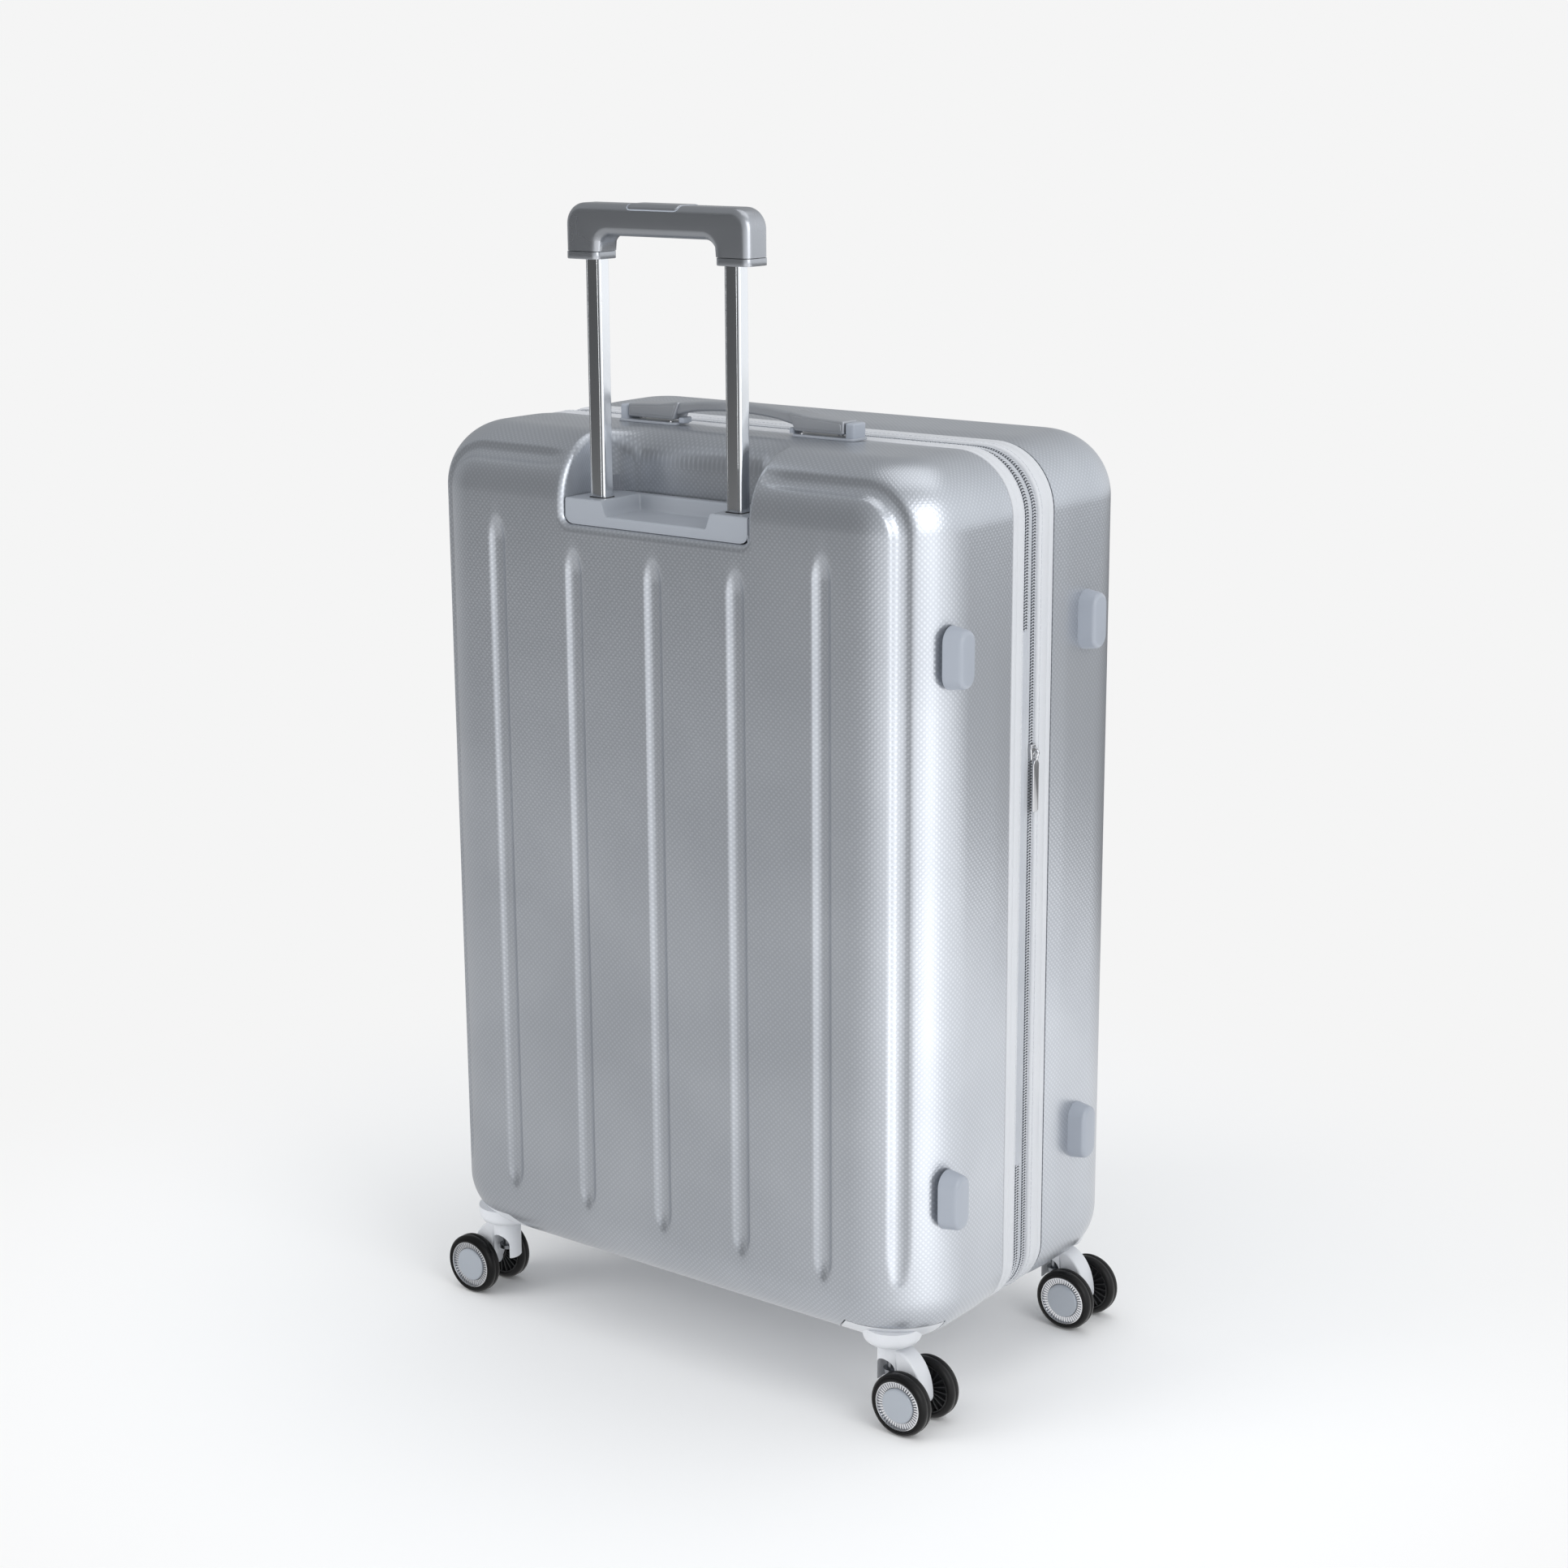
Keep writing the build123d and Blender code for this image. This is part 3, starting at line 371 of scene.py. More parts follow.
def arc(centre: Pair, radii: Pair, first: float, last: float, count: int) -> Array:
    """Arc of a circle or an ellipse.

    Args:
        centre: Its centre.
        radii: Its half axes.
        first: First angle in degrees.
        last: Last angle in degrees.
        count: Number of points.

    Returns:
        Points of the arc.
    """
    turn = np.radians(np.linspace(first, last, count))
    return np.array(centre) + np.stack([radii[0] * np.cos(turn), radii[1] * np.sin(turn)], 1)


def layer(shape: Array, height: float, place: Place) -> Array:
    """Points of an outline at one height, placed in the frame."""
    return place(shape[:, 0], shape[:, 1], np.full(len(shape), height))


def plain_space(a: Array, b: Array, h: Array) -> Array:
    """Place outline coordinates on X and Y, and heights on Z."""
    return np.stack([a, b, h], -1)


def along_y(a: Array, b: Array, h: Array) -> Array:
    """Place outline coordinates on X and Z, and heights on Y."""
    return np.stack([a, h, b], -1)


def standing(x: float, y: float) -> Place:
    """Placing function for a form that stands upright at one place of the floor."""
    return lambda a, b, h: np.stack([x + a, y + b, h], -1)


def thickened(thickness: float, offset: float = -1.0) -> Modifiers:
    """Modifier that gives a sheet its thickness in millimetres, to the inside by default."""
    return [("SOLIDIFY", {"thickness": thickness * MM, "offset": offset})]


def boolean(operation: str, other: Obj, **settings: Any) -> Modifiers:
    """Modifier that joins or cuts a piece with another object."""
    return [("BOOLEAN", {"operation": operation, "solver": "EXACT", "object": other, **settings})]


class Form:
    """Points and faces of one piece in millimetres, until it becomes an object."""

    def __init__(self) -> None:
        """Start with nothing."""
        self.points: list[Array] = []
        self.faces: list[tuple[int, ...]] = []
        self.flats: list[Array] = []
        self.count = 0

    def add(self, points: Array, faces: Sequence[Sequence[int]], flat: Array | None = None) -> None:
        """Take in more points and faces.

        Args:
            points: Points in millimetres.
            faces: Faces by number within these points.
            flat: Flat coordinates of the points in millimetres, for patterns that follow the surface.
        """
        points = np.asarray(points, float).reshape(-1, 3)
        self.points.append(points)
        sheet = np.zeros((len(points), 2)) if flat is None else np.asarray(flat, float).reshape(-1, 2)
        self.flats.append(sheet)
        self.faces.extend(tuple(int(i) + self.count for i in face) for face in faces)
        self.count += len(points)

    def grid(self, points: Array, rows_close: bool = False, columns_close: bool = False,
             flip: bool = False, flat: Array | None = None, keep: Array | None = None) -> None:
        """Take in a grid of points as quads.

        Args:
            points: Array of rows, columns and coordinates.
            rows_close: Whether the last row meets the first.
            columns_close: Whether the last column meets the first.
            flip: Whether the faces are turned over.
            flat: Flat coordinates for each point.
            keep: Which quads are kept, as rows and columns.
        """
        rows, columns = points.shape[:2]
        faces = []
        for i in range(rows if rows_close else rows - 1):
            for j in range(columns if columns_close else columns - 1):
                if keep is not None and not keep[i, j]:
                    continue
                k, m = (i + 1) % rows, (j + 1) % columns
                quad = (i * columns + j, i * columns + m, k * columns + m, k * columns + j)
                faces.append(quad[::-1] if flip else quad)
        self.add(points.reshape(-1, 3), faces, flat)

    def lathe(self, profile: Sequence[Pair], place: Place, steps: int = 64, close: bool = True) -> None:
        """Turn a profile of radius and height round an axis.

        Args:
            profile: Radius and height of each point.
            place: Maps two cross coordinates and a height to a point of the frame.
            steps: Steps round the axis.
            close: Whether the profile's last point meets its first.
        """
        radius, height = np.array(profile, float).T
        turn = np.linspace(0, 2 * math.pi, steps, endpoint=False)
        a = radius[:, None] * np.cos(turn)
        b = radius[:, None] * np.sin(turn)
        self.grid(place(a, b, height[:, None] + 0 * a), rows_close=close, columns_close=True)

    def prism(self, outline: Array, low: float, high: float, place: Place, round_low: float = 0.0,
              round_high: float = 0.0, grow_low: float = 0.0, steps: int = 4) -> None:
        """Raise an outline to a solid with rounded ends.

        Args:
            outline: Closed outline.
            low: Height of the first end.
            high: Height of the second end.
            place: Maps two outline coordinates and a height to a point of the frame.
            round_low: Edge radius of the first end.
            round_high: Edge radius of the second end.
            grow_low: How far the first end is larger than the second all round.
            steps: Steps in each rounded edge.
        """
        outline = counterclockwise(outline)
        rings = []
        for radius, end, sign in ((round_low, low, 1), (round_high, high, -1)):
            ring = []
            for step in range(steps + 1 if radius > 0 else 1):
                angle = math.pi / 2 * step / steps if radius > 0 else math.pi / 2
                ring.append((radius * (1 - math.sin(angle)), end + sign * radius * (1 - math.cos(angle))))
            rings += ring if sign > 0 else ring[::-1]
        layers = []
        for inset, height in rings:
            grown = grow_low * (high - height) / (high - low)
            layers.append(layer(moved_in(outline, inset - grown), height, place))
        self.grid(np.array(layers), columns_close=True)
        self.cap(len(layers), len(outline))

    def cap(self, rows: int, columns: int) -> None:
        """Close both ends of the tube that was taken in last.

        Args:
            rows: Its number of rows.
            columns: Points in each row.
        """
        first = self.count - rows * columns
        self.faces.append(tuple(range(first, first + columns))[::-1])
        self.faces.append(tuple(range(self.count - columns, self.count)))

    def piece(self, name: str, finish: Finish, weld: float = 0.02, sharp: float = 35.0, closed: bool = True,
              modifiers: Modifiers = ()) -> Obj:
        """Make the object.

        Args:
            name: Name of the piece.
            finish: Its material.
            weld: Distance within which points are merged.
            sharp: Angle in degrees past which an edge is sharp.
            closed: Whether faces are turned to point out of the closed form.
            modifiers: Type and settings of modifiers that are applied at once.

        Returns:
            The object, at the origin, with its place in its mesh.
        """
        mesh = bpy.data.meshes.new(name)
        mesh.from_pydata((np.concatenate(self.points) * MM).tolist(), [], self.faces)
        flats = np.concatenate(self.flats) * MM
        sheet = mesh.uv_layers.new(name="UVMap")
        corners = np.zeros(len(mesh.loops), np.int32)
        mesh.loops.foreach_get("vertex_index", corners)
        sheet.data.foreach_set("uv", flats[corners].astype(np.float32).ravel())
        work = bmesh.new()
        work.from_mesh(mesh)
        bmesh.ops.remove_doubles(work, verts=work.verts, dist=weld * MM)
        bmesh.ops.dissolve_degenerate(work, edges=work.edges, dist=weld * MM * 0.5)
        if closed:
            bmesh.ops.recalc_face_normals(work, faces=work.faces)
        work.to_mesh(mesh)
        work.free()
        return finished(name, mesh, finish, sharp, modifiers)


def finished(name: str, mesh: Mesh, finish: Finish, sharp: float, modifiers: Modifiers = ()) -> Obj:
    """Make an object of a mesh, apply its modifiers and give it its finish.

    Args:
        name: Name of the piece.
        mesh: Its mesh.
        finish: Its material.
        sharp: Angle in degrees past which an edge is sharp.
        modifiers: Type and settings of each modifier.

    Returns:
        The object.
    """
    obj = bpy.data.objects.new(name, mesh)
    bpy.context.scene.collection.objects.link(obj)
    for kind, settings in modifiers:
        modifier = obj.modifiers.new(kind.title(), kind)
        for key, value in settings.items():
            setattr(modifier, key, value)
    if modifiers:
        freeze(obj)
    dress(obj, finish, sharp)
    return obj


def dress(obj: Obj, finish: Finish, sharp: float) -> None:
    """Give an object one material, and smooth faces between its sharp edges.

    Args:
        obj: The object.
        finish: Its material.
        sharp: Angle in degrees past which an edge is sharp.
    """
    obj.data.materials.clear()
    obj.data.materials.append(finish.material())
    obj.data.polygons.foreach_set("material_index", [0] * len(obj.data.polygons))
    obj.data.shade_smooth()
    obj.data.set_sharp_from_angle(angle=math.radians(sharp))


def freeze(obj: Obj) -> None:
    """Replace the object's mesh by what its modifiers make of it, and remove them."""
    bpy.context.view_layer.update()
    graph = bpy.context.evaluated_depsgraph_get()
    made = bpy.data.meshes.new_from_object(obj.evaluated_get(graph), preserve_all_data_layers=True,
                                           depsgraph=graph)
    obj.modifiers.clear()
    obj.data = made


def seat(obj: Obj, slot: str, *nodes: str, body: str | None = None) -> Obj:
    """Make a piece ride on its body and stand for its CAD nodes.

    Args:
        obj: The piece.
        slot: Material slot of the record; not used.
        nodes: CAD nodes that it replaces.
        body: Body that it rides on; by default the one of its first node.

    Returns:
        The piece.
    """
    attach(obj, body or NODE_BODY[nodes[0]])
    if nodes:
        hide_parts(*nodes)
    log.info("%s rides on %s", obj.name, body or NODE_BODY[nodes[0]])
    return obj


# Geometry Nodes

class Rows:
    """Geometry Nodes trees for what repeats: teeth and stitches along a path, ribs and spokes of a wheel."""

    @staticmethod
    def tree(name: str, sizes: dict[str, tuple[str, Any]]) -> tuple[Tree, bpy.types.Node]:
        """Start a tree with a geometry input and named sizes.

        Args:
            name: Name of the tree.
            sizes: Socket type and first value of each input.

        Returns:
            The tree and its input node.
        """
        tree = bpy.data.node_groups.new(name, "GeometryNodeTree")
        tree.is_modifier = True
        tree.interface.new_socket("Geometry", in_out="INPUT", socket_type="NodeSocketGeometry")
        for label, (kind, value) in sizes.items():
            socket = tree.interface.new_socket(label, in_out="INPUT", socket_type=kind)
            if value is not None:
                socket.default_value = value
        tree.interface.new_socket("Geometry", in_out="OUTPUT", socket_type="NodeSocketGeometry")
        return tree, add_node(tree, "NodeGroupInput")

    @staticmethod
    def close(tree: Tree, geometry: Socket, material: Socket) -> None:
        """End a tree in real faces with one material.

        Args:
            tree: The tree.
            geometry: Socket with the instances.
            material: Socket with the material.
        """
        real = add_node(tree, "GeometryNodeRealizeInstances", {0: geometry})
        dressed = add_node(tree, "GeometryNodeSetMaterial", {0: real.outputs[0], "Material": material})
        add_node(tree, "NodeGroupOutput", {0: dressed.outputs[0]})

    @classmethod
    def teeth(cls) -> Tree:
        """Tree that lays small round bars across a path, leaning along it."""
        found = bpy.data.node_groups.get("zip_teeth")
        if found:
            return found
        tree, sizes = cls.tree("zip_teeth", {
            "Pitch": ("NodeSocketFloat", 0.0022),
            "Length": ("NodeSocketFloat", 0.0024),
            "Radius": ("NodeSocketFloat", 0.0007),
            "Lean": ("NodeSocketFloat", 0.3),
            "Material": ("NodeSocketMaterial", None),
        })
        path = add_node(tree, "GeometryNodeMeshToCurve", {0: sizes.outputs["Geometry"]})
        spots = add_node(tree, "GeometryNodeResampleCurve",
                         {"Curve": path.outputs[0], "Length": sizes.outputs["Pitch"]}, mode="LENGTH")
        bar = add_node(tree, "GeometryNodeMeshCylinder",
                       {"Vertices": 7, "Radius": sizes.outputs["Radius"], "Depth": sizes.outputs["Length"]})
        way = add_node(tree, "GeometryNodeInputTangent")
        lean = add_node(tree, "ShaderNodeVectorMath", {0: way.outputs[0], "Scale": sizes.outputs["Lean"]},
                        operation="SCALE")
        across = add_node(tree, "ShaderNodeVectorMath", {0: lean.outputs[0], 1: (0.0, 1.0, 0.0)},
                          operation="ADD")
        turn = add_node(tree, "FunctionNodeAxesToRotation", {0: across.outputs[0], 1: way.outputs[0]},
                        primary_axis="Z", secondary_axis="X")
        laid = add_node(tree, "GeometryNodeInstanceOnPoints", {
            "Points": spots.outputs[0], "Instance": bar.outputs["Mesh"], "Rotation": turn.outputs[0]})
        cls.close(tree, laid.outputs[0], sizes.outputs["Material"])
        return tree

    @classmethod
    def ribs(cls) -> Tree:
        """Tree that adds radial bars round the Z axis to the mesh it is given."""
        found = bpy.data.node_groups.get("radial_ribs")
        if found:
            return found
        tree, sizes = cls.tree("radial_ribs", {
            "Count": ("NodeSocketInt", 60),
            "Radius": ("NodeSocketFloat", 0.015),
            "Size": ("NodeSocketVector", (0.004, 0.0006, 0.0008)),
            "Height": ("NodeSocketFloat", 0.0),
            "Material": ("NodeSocketMaterial", None),
        })
        circle = add_node(tree, "GeometryNodeMeshCircle",
                          {"Vertices": sizes.outputs["Count"], "Radius": sizes.outputs["Radius"]})
        bar = add_node(tree, "GeometryNodeMeshCube", {"Size": sizes.outputs["Size"]})
        spot = add_node(tree, "GeometryNodeInputPosition")
        turn = add_node(tree, "FunctionNodeAxesToRotation", {0: (0.0, 0.0, 1.0), 1: spot.outputs[0]},
                        primary_axis="Z", secondary_axis="X")
        laid = add_node(tree, "GeometryNodeInstanceOnPoints", {
            "Points": circle.outputs[0], "Instance": bar.outputs["Mesh"], "Rotation": turn.outputs[0]})
        lift = add_node(tree, "ShaderNodeCombineXYZ", {"Z": sizes.outputs["Height"]})
        raised = add_node(tree, "GeometryNodeTransform", {0: laid.outputs[0], "Translation": lift.outputs[0]})
        joined = add_node(tree, "GeometryNodeJoinGeometry")
        tree.links.new(sizes.outputs["Geometry"], joined.inputs[0])
        tree.links.new(raised.outputs[0], joined.inputs[0])
        cls.close(tree, joined.outputs[0], sizes.outputs["Material"])
        return tree

    @staticmethod
    def grow(obj: Obj, tree: Tree, finish: Finish, sharp: float = 35.0, **sizes: Any) -> Obj:
        """Run a tree on an object and keep the result as a plain mesh.

        Args:
            obj: Object with the path or base mesh.
            tree: The tree.
            finish: Material of the result.
            sharp: Angle in degrees past which an edge is sharp.
            sizes: Values of the tree's inputs by name.

        Returns:
            The object.
        """
        modifier = obj.modifiers.new("Rows", "NODES")
        modifier.node_group = tree
        known = {item.name: item.identifier for item in tree.interface.items_tree if item.in_out == "INPUT"}
        modifier[known["Material"]] = finish.material()
        for label, value in sizes.items():
            modifier[known[label]] = value
        freeze(obj)
        dress(obj, finish, sharp)
        return obj


# The case

@dataclass(frozen=True)
class Case:
    """Outer sizes that the shells, the band, the linings and the castors share."""

    half_width: float = 248.0
    low: float = 64.0
    high: float = 753.0
    upright_radius: float = 64.0
    top_radius: float = 52.0
    bottom_radius: float = 45.0
    wall: float = 3.0
    lip_run: float = 19.0
    lip_rise: float = 1.5
    back_face: float = -153.0
    front_face: float = 153.0
    hinge_gap: Pair = (185.0, 616.0)
    small_cut: Pair = (400.0, 400.5)
    castor_x: float = 203.0
    castor_depth: float = 33.0

    def outline(self, inset: float, whole: bool = False, spacing: float = 24.0) -> Array:
        """Upright outline of the case, from the top of the hinge gap round to its bottom.

        Args:
            inset: Distance inside the outer faces.
            whole: Whether it also runs over the hinge side, up to a small cut.
            spacing: Largest step along straight runs.

        Returns:
            X and Z of each point; the same number of points for every inset.
        """
        gap_low, gap_high = self.small_cut if whole else self.hinge_gap
        wide, top, base = self.half_width, self.top_radius, self.bottom_radius
        runs: list[Array] = []

        def line(start: Pair, end: Pair) -> None:
            steps = max(2, int(math.dist(start, end) / spacing))
            share = np.linspace(0, 1, steps, endpoint=False)[:, None]
            runs.append(np.array(start) * (1 - share) + np.array(end) * share)

        def corner(x: float, z: float, radius: float, first: float) -> None:
            runs.append(arc((x, z), (radius - inset, radius - inset), first, first + 90, 15)[:-1])

        right, left, roof, floor = wide - inset, -wide + inset, self.high - inset, self.low + inset
        upper, lower = self.high - top, self.low + base
        line((right, gap_high), (right, upper))
        corner(wide - top, upper, top, 0)
        line((wide - top, roof), (-wide + top, roof))
        corner(-wide + top, upper, top, 90)
        line((left, upper), (left, lower))
        corner(-wide + base, lower, base, 180)
        line((-wide + base, floor), (wide - base, floor))
        corner(wide - base, lower, base, 270)
        line((right, lower), (right, gap_low))
        runs.append(np.array([[right, gap_low]]))
        return np.concatenate(runs)


CASE = Case()


def plan(side: Array, turn: Array, face_x: Array) -> tuple[Array, Array]:
    """Stations round the plan of a half, from the -X split edge over the face to the +X split edge.

    Args:
        side: Depths of the stations on a side, from the corner to the split.
        turn: Angles of the stations in a corner, in radians.
        face_x: X of the stations on the face.

    Returns:
        X and depth of each station, and its outward direction as X and depth.
    """
    radius, wide = CASE.upright_radius, CASE.half_width
    flat = wide - radius
    edge = np.concatenate([
        np.stack([np.full(len(side), wide), side[::-1]], 1),
        np.stack([flat + radius * np.cos(turn), radius - radius * np.sin(turn)], 1),
    ])
    out = np.concatenate([np.tile([1.0, 0.0], (len(side), 1)), np.stack([np.cos(turn), -np.sin(turn)], 1)])
    face = np.stack([face_x, 0 * face_x], 1)
    spots = np.concatenate([edge * [-1, 1], face, edge[::-1]])
    return spots, np.concatenate([out * [-1, 1], np.tile([0.0, -1.0], (len(face), 1)), out[::-1]])


def shoulder(radius: float, level: float, sign: int, angles: Array) -> list[tuple[float, ...]]:
    """Profile stations in the rounded edge at the top or the bottom of a half.

    Args:
        radius: Radius of the edge.
        level: Height of the top or the bottom.
        sign: 1 for the top, -1 for the bottom.
        angles: Angle of each station in degrees.

    Returns:
        Depth inside the plan, height, outward share and upward share of each station.
    """
    return [(radius * (1 - math.cos(a)), level - sign * radius * (1 - math.sin(a)),
             math.cos(a), sign * math.sin(a)) for a in np.radians(angles)]


def raised(spots: Array, ways: Array, table: Array) -> tuple[Array, Array]:
    """Points of a half on every station of its plan and its profile.

    Args:
        spots: X and depth of each station of the plan.
        ways: Outward direction of each station of the plan.
        table: Depth inside the plan, height, outward share and upward share of each profile station.

    Returns:
        X, depth and height of each point, and its outward direction.
    """
    inside, height, out, up = table[:, :4].T
    none = np.zeros(len(spots))
    spot = [spots[:, k] - np.outer(inside, ways[:, k]) for k in (0, 1)] + [height[:, None] + none]
    way = [np.outer(out, ways[:, k]) for k in (0, 1)] + [up[:, None] + none]
    return np.stack(spot, -1), np.stack(way, -1)


# Radius and height of the cup that the fork turns under.
SWIVEL_CUP = [
    (4.2, 67.5), (11.6, 67.5), (12.4, 66.7), (13.2, 66.4), (17.0, 66.4), (19.4, 66.9), (21.2, 68.0),
    (22.4, 69.6), (23.2, 71.6), (23.4, 74.0), (23.4, 80.0), (4.2, 80.0),
]


@dataclass
class Shell:
    """One pressed half of the case, with its two corner housings."""

    name: str
    face: float
    inwards: int
    depth: float
    pocket: bool
    rib_tops: tuple[float, ...]
    rib_places: tuple[float, ...] = (-160.0, -80.0, 0.0, 80.0, 160.0)
    rib_low: float = 115.0
    rib_tip: float = 20.0
    rib_tip_radius: float = 52.0
    press_radius: float = 11.03
    press_standoff: float = 7.03
    press_soft: float = 0.9
    channel_x: float = 226.75
    channel_z: float = 738.9
    channel_sink: float = 7.27
    channel_low: float = 128.0
    channel_turn: float = 40.0
    channel_end: float = 0.0
    pocket_half: float = 97.0
    pocket_low: float = 679.0
    pocket_back: float = 85.0
    pocket_edge: float = 6.0
    pocket_crest: float = 25.0
    pocket_corner: float = 13.0
    pocket_turn: float = 40.0
    housing_top: float = 84.5
    housing_reach: float = 52.0
    housing_inner: float = 155.0
    housing_slope: float = 21.0
    seam: float = 0.55

    def columns(self) -> tuple[Array, Array, Array, Array]:
        """Stations round the plan: from the -X split edge over the face to the +X split edge.

        Returns:
            X and depth of each station, its outward direction as X and depth, its length from the middle,
            and the depths of the stations on a side.
        """
        radius = CASE.upright_radius
        flat = CASE.half_width - radius
        lip = self.depth - CASE.lip_run
        side = np.concatenate([np.linspace(radius, lip - 6, 5), np.linspace(lip - 4, lip + 4, 7),
                               np.linspace(lip + 7, self.depth, 4)])
        if self.pocket:
            side = np.unique(np.append(side, self.pocket_back))
        face = set(np.round(np.linspace(-flat, flat, 33), 3))
        for place in self.rib_places:
            face = {x for x in face if abs(x - place) > 12.5}
            face |= set(np.round(place + np.linspace(-12, 12, 21), 3))
        if self.pocket:
            half = self.pocket_half
            face = {x for x in face if abs(abs(x) - half) > 2} | {-half, half}
        spots, ways = plan(side, np.radians(np.linspace(0, 90, 47)[1:-1]), np.array(sorted(face)))
        length = np.concatenate([[0], np.cumsum(np.linalg.norm(np.diff(spots, axis=0), axis=1))])
        return spots, ways, length - length[-1] / 2, side

    def rows(self) -> Array:
        """Stations up the profile: depth inside the plan, height, outward share, upward share, length."""
        top, base, edge = CASE.top_radius, CASE.bottom_radius, CASE.upright_radius
        high, low = CASE.high - top, CASE.low + base
        table = [(d, CASE.low, 0.0, -1.0) for d in np.linspace(edge, base, 4)[:-1]]
        table += shoulder(base, CASE.low, -1, np.linspace(90, 0, 19))
        heights = set(np.round(np.linspace(low, high, 46), 3))
        heights |= set(np.round(np.linspace(self.rib_low - 1, self.rib_low + 27, 15), 3))
        for top_end in set(self.rib_tops):
            heights |= set(np.round(np.linspace(top_end - 27, top_end + 1, 15), 3))
        if self.pocket:
            heights = {z for z in heights if abs(z - self.pocket_low) > 0.8} | {self.pocket_low}
        kept = [low]
        for z in sorted(heights):
            if z - kept[-1] > 0.7 and high - z > 0.7:
                kept.append(z)
        table += [(0.0, z, 1.0, 0.0) for z in kept[1:]]
        table += shoulder(top, CASE.high, 1, np.linspace(0, 90, 45))
        table += [(d, CASE.high, 0.0, 1.0) for d in np.linspace(top, edge, 4)[1:]]
        result = np.array(table)
        steps = np.linalg.norm(np.diff(result[:, :2], axis=0), axis=1)
        return np.column_stack([result, np.concatenate([[0], np.cumsum(steps)])])

    def pressed(self, spot: Array, way: Array) -> Array:
        """How far each point is pressed in by the ribs, the shoulder channel and the lip bevel.

        Args:
            spot: X, depth and height of each point.
            way: Outward direction of each point.

        Returns:
            Distance inwards for each point.
        """
        x, e, z = spot[..., 0], spot[..., 1], spot[..., 2]

        def soft(amount: Array) -> Array:
            eased = 0.5 * (amount + np.sqrt(amount ** 2 + self.press_soft ** 2))
            return np.where(amount > -4, eased, 0.0)

        past_lip = e - (self.depth - CASE.lip_run)
        total = CASE.lip_rise / CASE.lip_run * 0.5 * (past_lip + np.sqrt(past_lip ** 2 + 36.0))
        total = np.where(past_lip > -20, total, 0.0)
        on_face = (e < 1.0) & (np.abs(way[..., 1]) > 0.99)
        for place, top_end in zip(self.rib_places, self.rib_tops):
            beyond = np.maximum(z - (top_end - self.rib_tip), self.rib_low + self.rib_tip - z)
            beyond = np.maximum(beyond, 0.0)
            radius = self.press_radius - self.rib_tip_radius + np.sqrt(
                np.maximum(self.rib_tip_radius ** 2 - beyond ** 2, 0.0))
            room = np.where(radius > 0, radius ** 2 - (x - place) ** 2, 0.0)
            depth = np.sqrt(np.maximum(room, 0.0)) - self.press_standoff
            total = total + np.where(on_face, soft(depth), 0.0)
        # Nearest point of the channel's path: upright, turned corner, level.
        wide = np.abs(x)
        turn_x, turn_z = self.channel_x - self.channel_turn, self.channel_z - self.channel_turn
        upright_z = np.clip(z, self.channel_low, turn_z)
        level_x = np.clip(wide, self.channel_end, turn_x)
        from_x, from_z = wide - turn_x, z - turn_z
        reach = np.maximum(np.hypot(from_x, from_z), 1e-6)
        in_turn = (from_x > 0) & (from_z > 0)
        level = (from_x <= 0) & (from_z > from_x)
        near_x = np.where(level, level_x, self.channel_x)
        near_x = np.where(in_turn, turn_x + self.channel_turn * from_x / reach, near_x)
        near_z = np.where(level, self.channel_z, upright_z)
        near_z = np.where(in_turn, turn_z + self.channel_turn * from_z / reach, near_z)
        off = np.stack([np.where(x < 0, -1.0, 1.0) * (wide - near_x), e - self.channel_sink, z - near_z], -1)
        out = (off * way).sum(-1)
        aside = (off ** 2).sum(-1) - out ** 2
        low_end = np.clip((self.channel_low + 30 - z) / 30, 0, 1)
        radius = self.press_radius - 2.2 * low_end ** 2
        depth = np.sqrt(np.maximum(radius ** 2 - aside, 0.0)) + out
        return total + np.where(aside < radius ** 2 + 9, soft(depth), 0.0)

    def to_frame(self, spot: Array) -> Array:
        """Turn X, depth and height into a point of the frame."""
        return np.stack([spot[..., 0], self.face + self.inwards * spot[..., 1], spot[..., 2]], -1)

    def profile(self, length: Array) -> tuple[Array, Array]:
        """Middle profile of the half, up the face and over the top shoulder.

        Args:
            length: Height on the face, continued as length over the shoulder and along the top.

        Returns:
            Depth and height of each point, and its outward direction as depth and height.
        """
        radius, start = CASE.top_radius, CASE.high - CASE.top_radius
        angle = np.clip((length - start) / radius, 0, math.pi / 2)
        past = np.maximum(length - start - radius * math.pi / 2, 0.0)
        height = np.minimum(length, start) + radius * np.sin(angle)
        spot = np.stack([radius * (1 - np.cos(angle)) + past, height], -1)
        return spot, np.stack([-np.cos(angle), np.sin(angle)], -1)

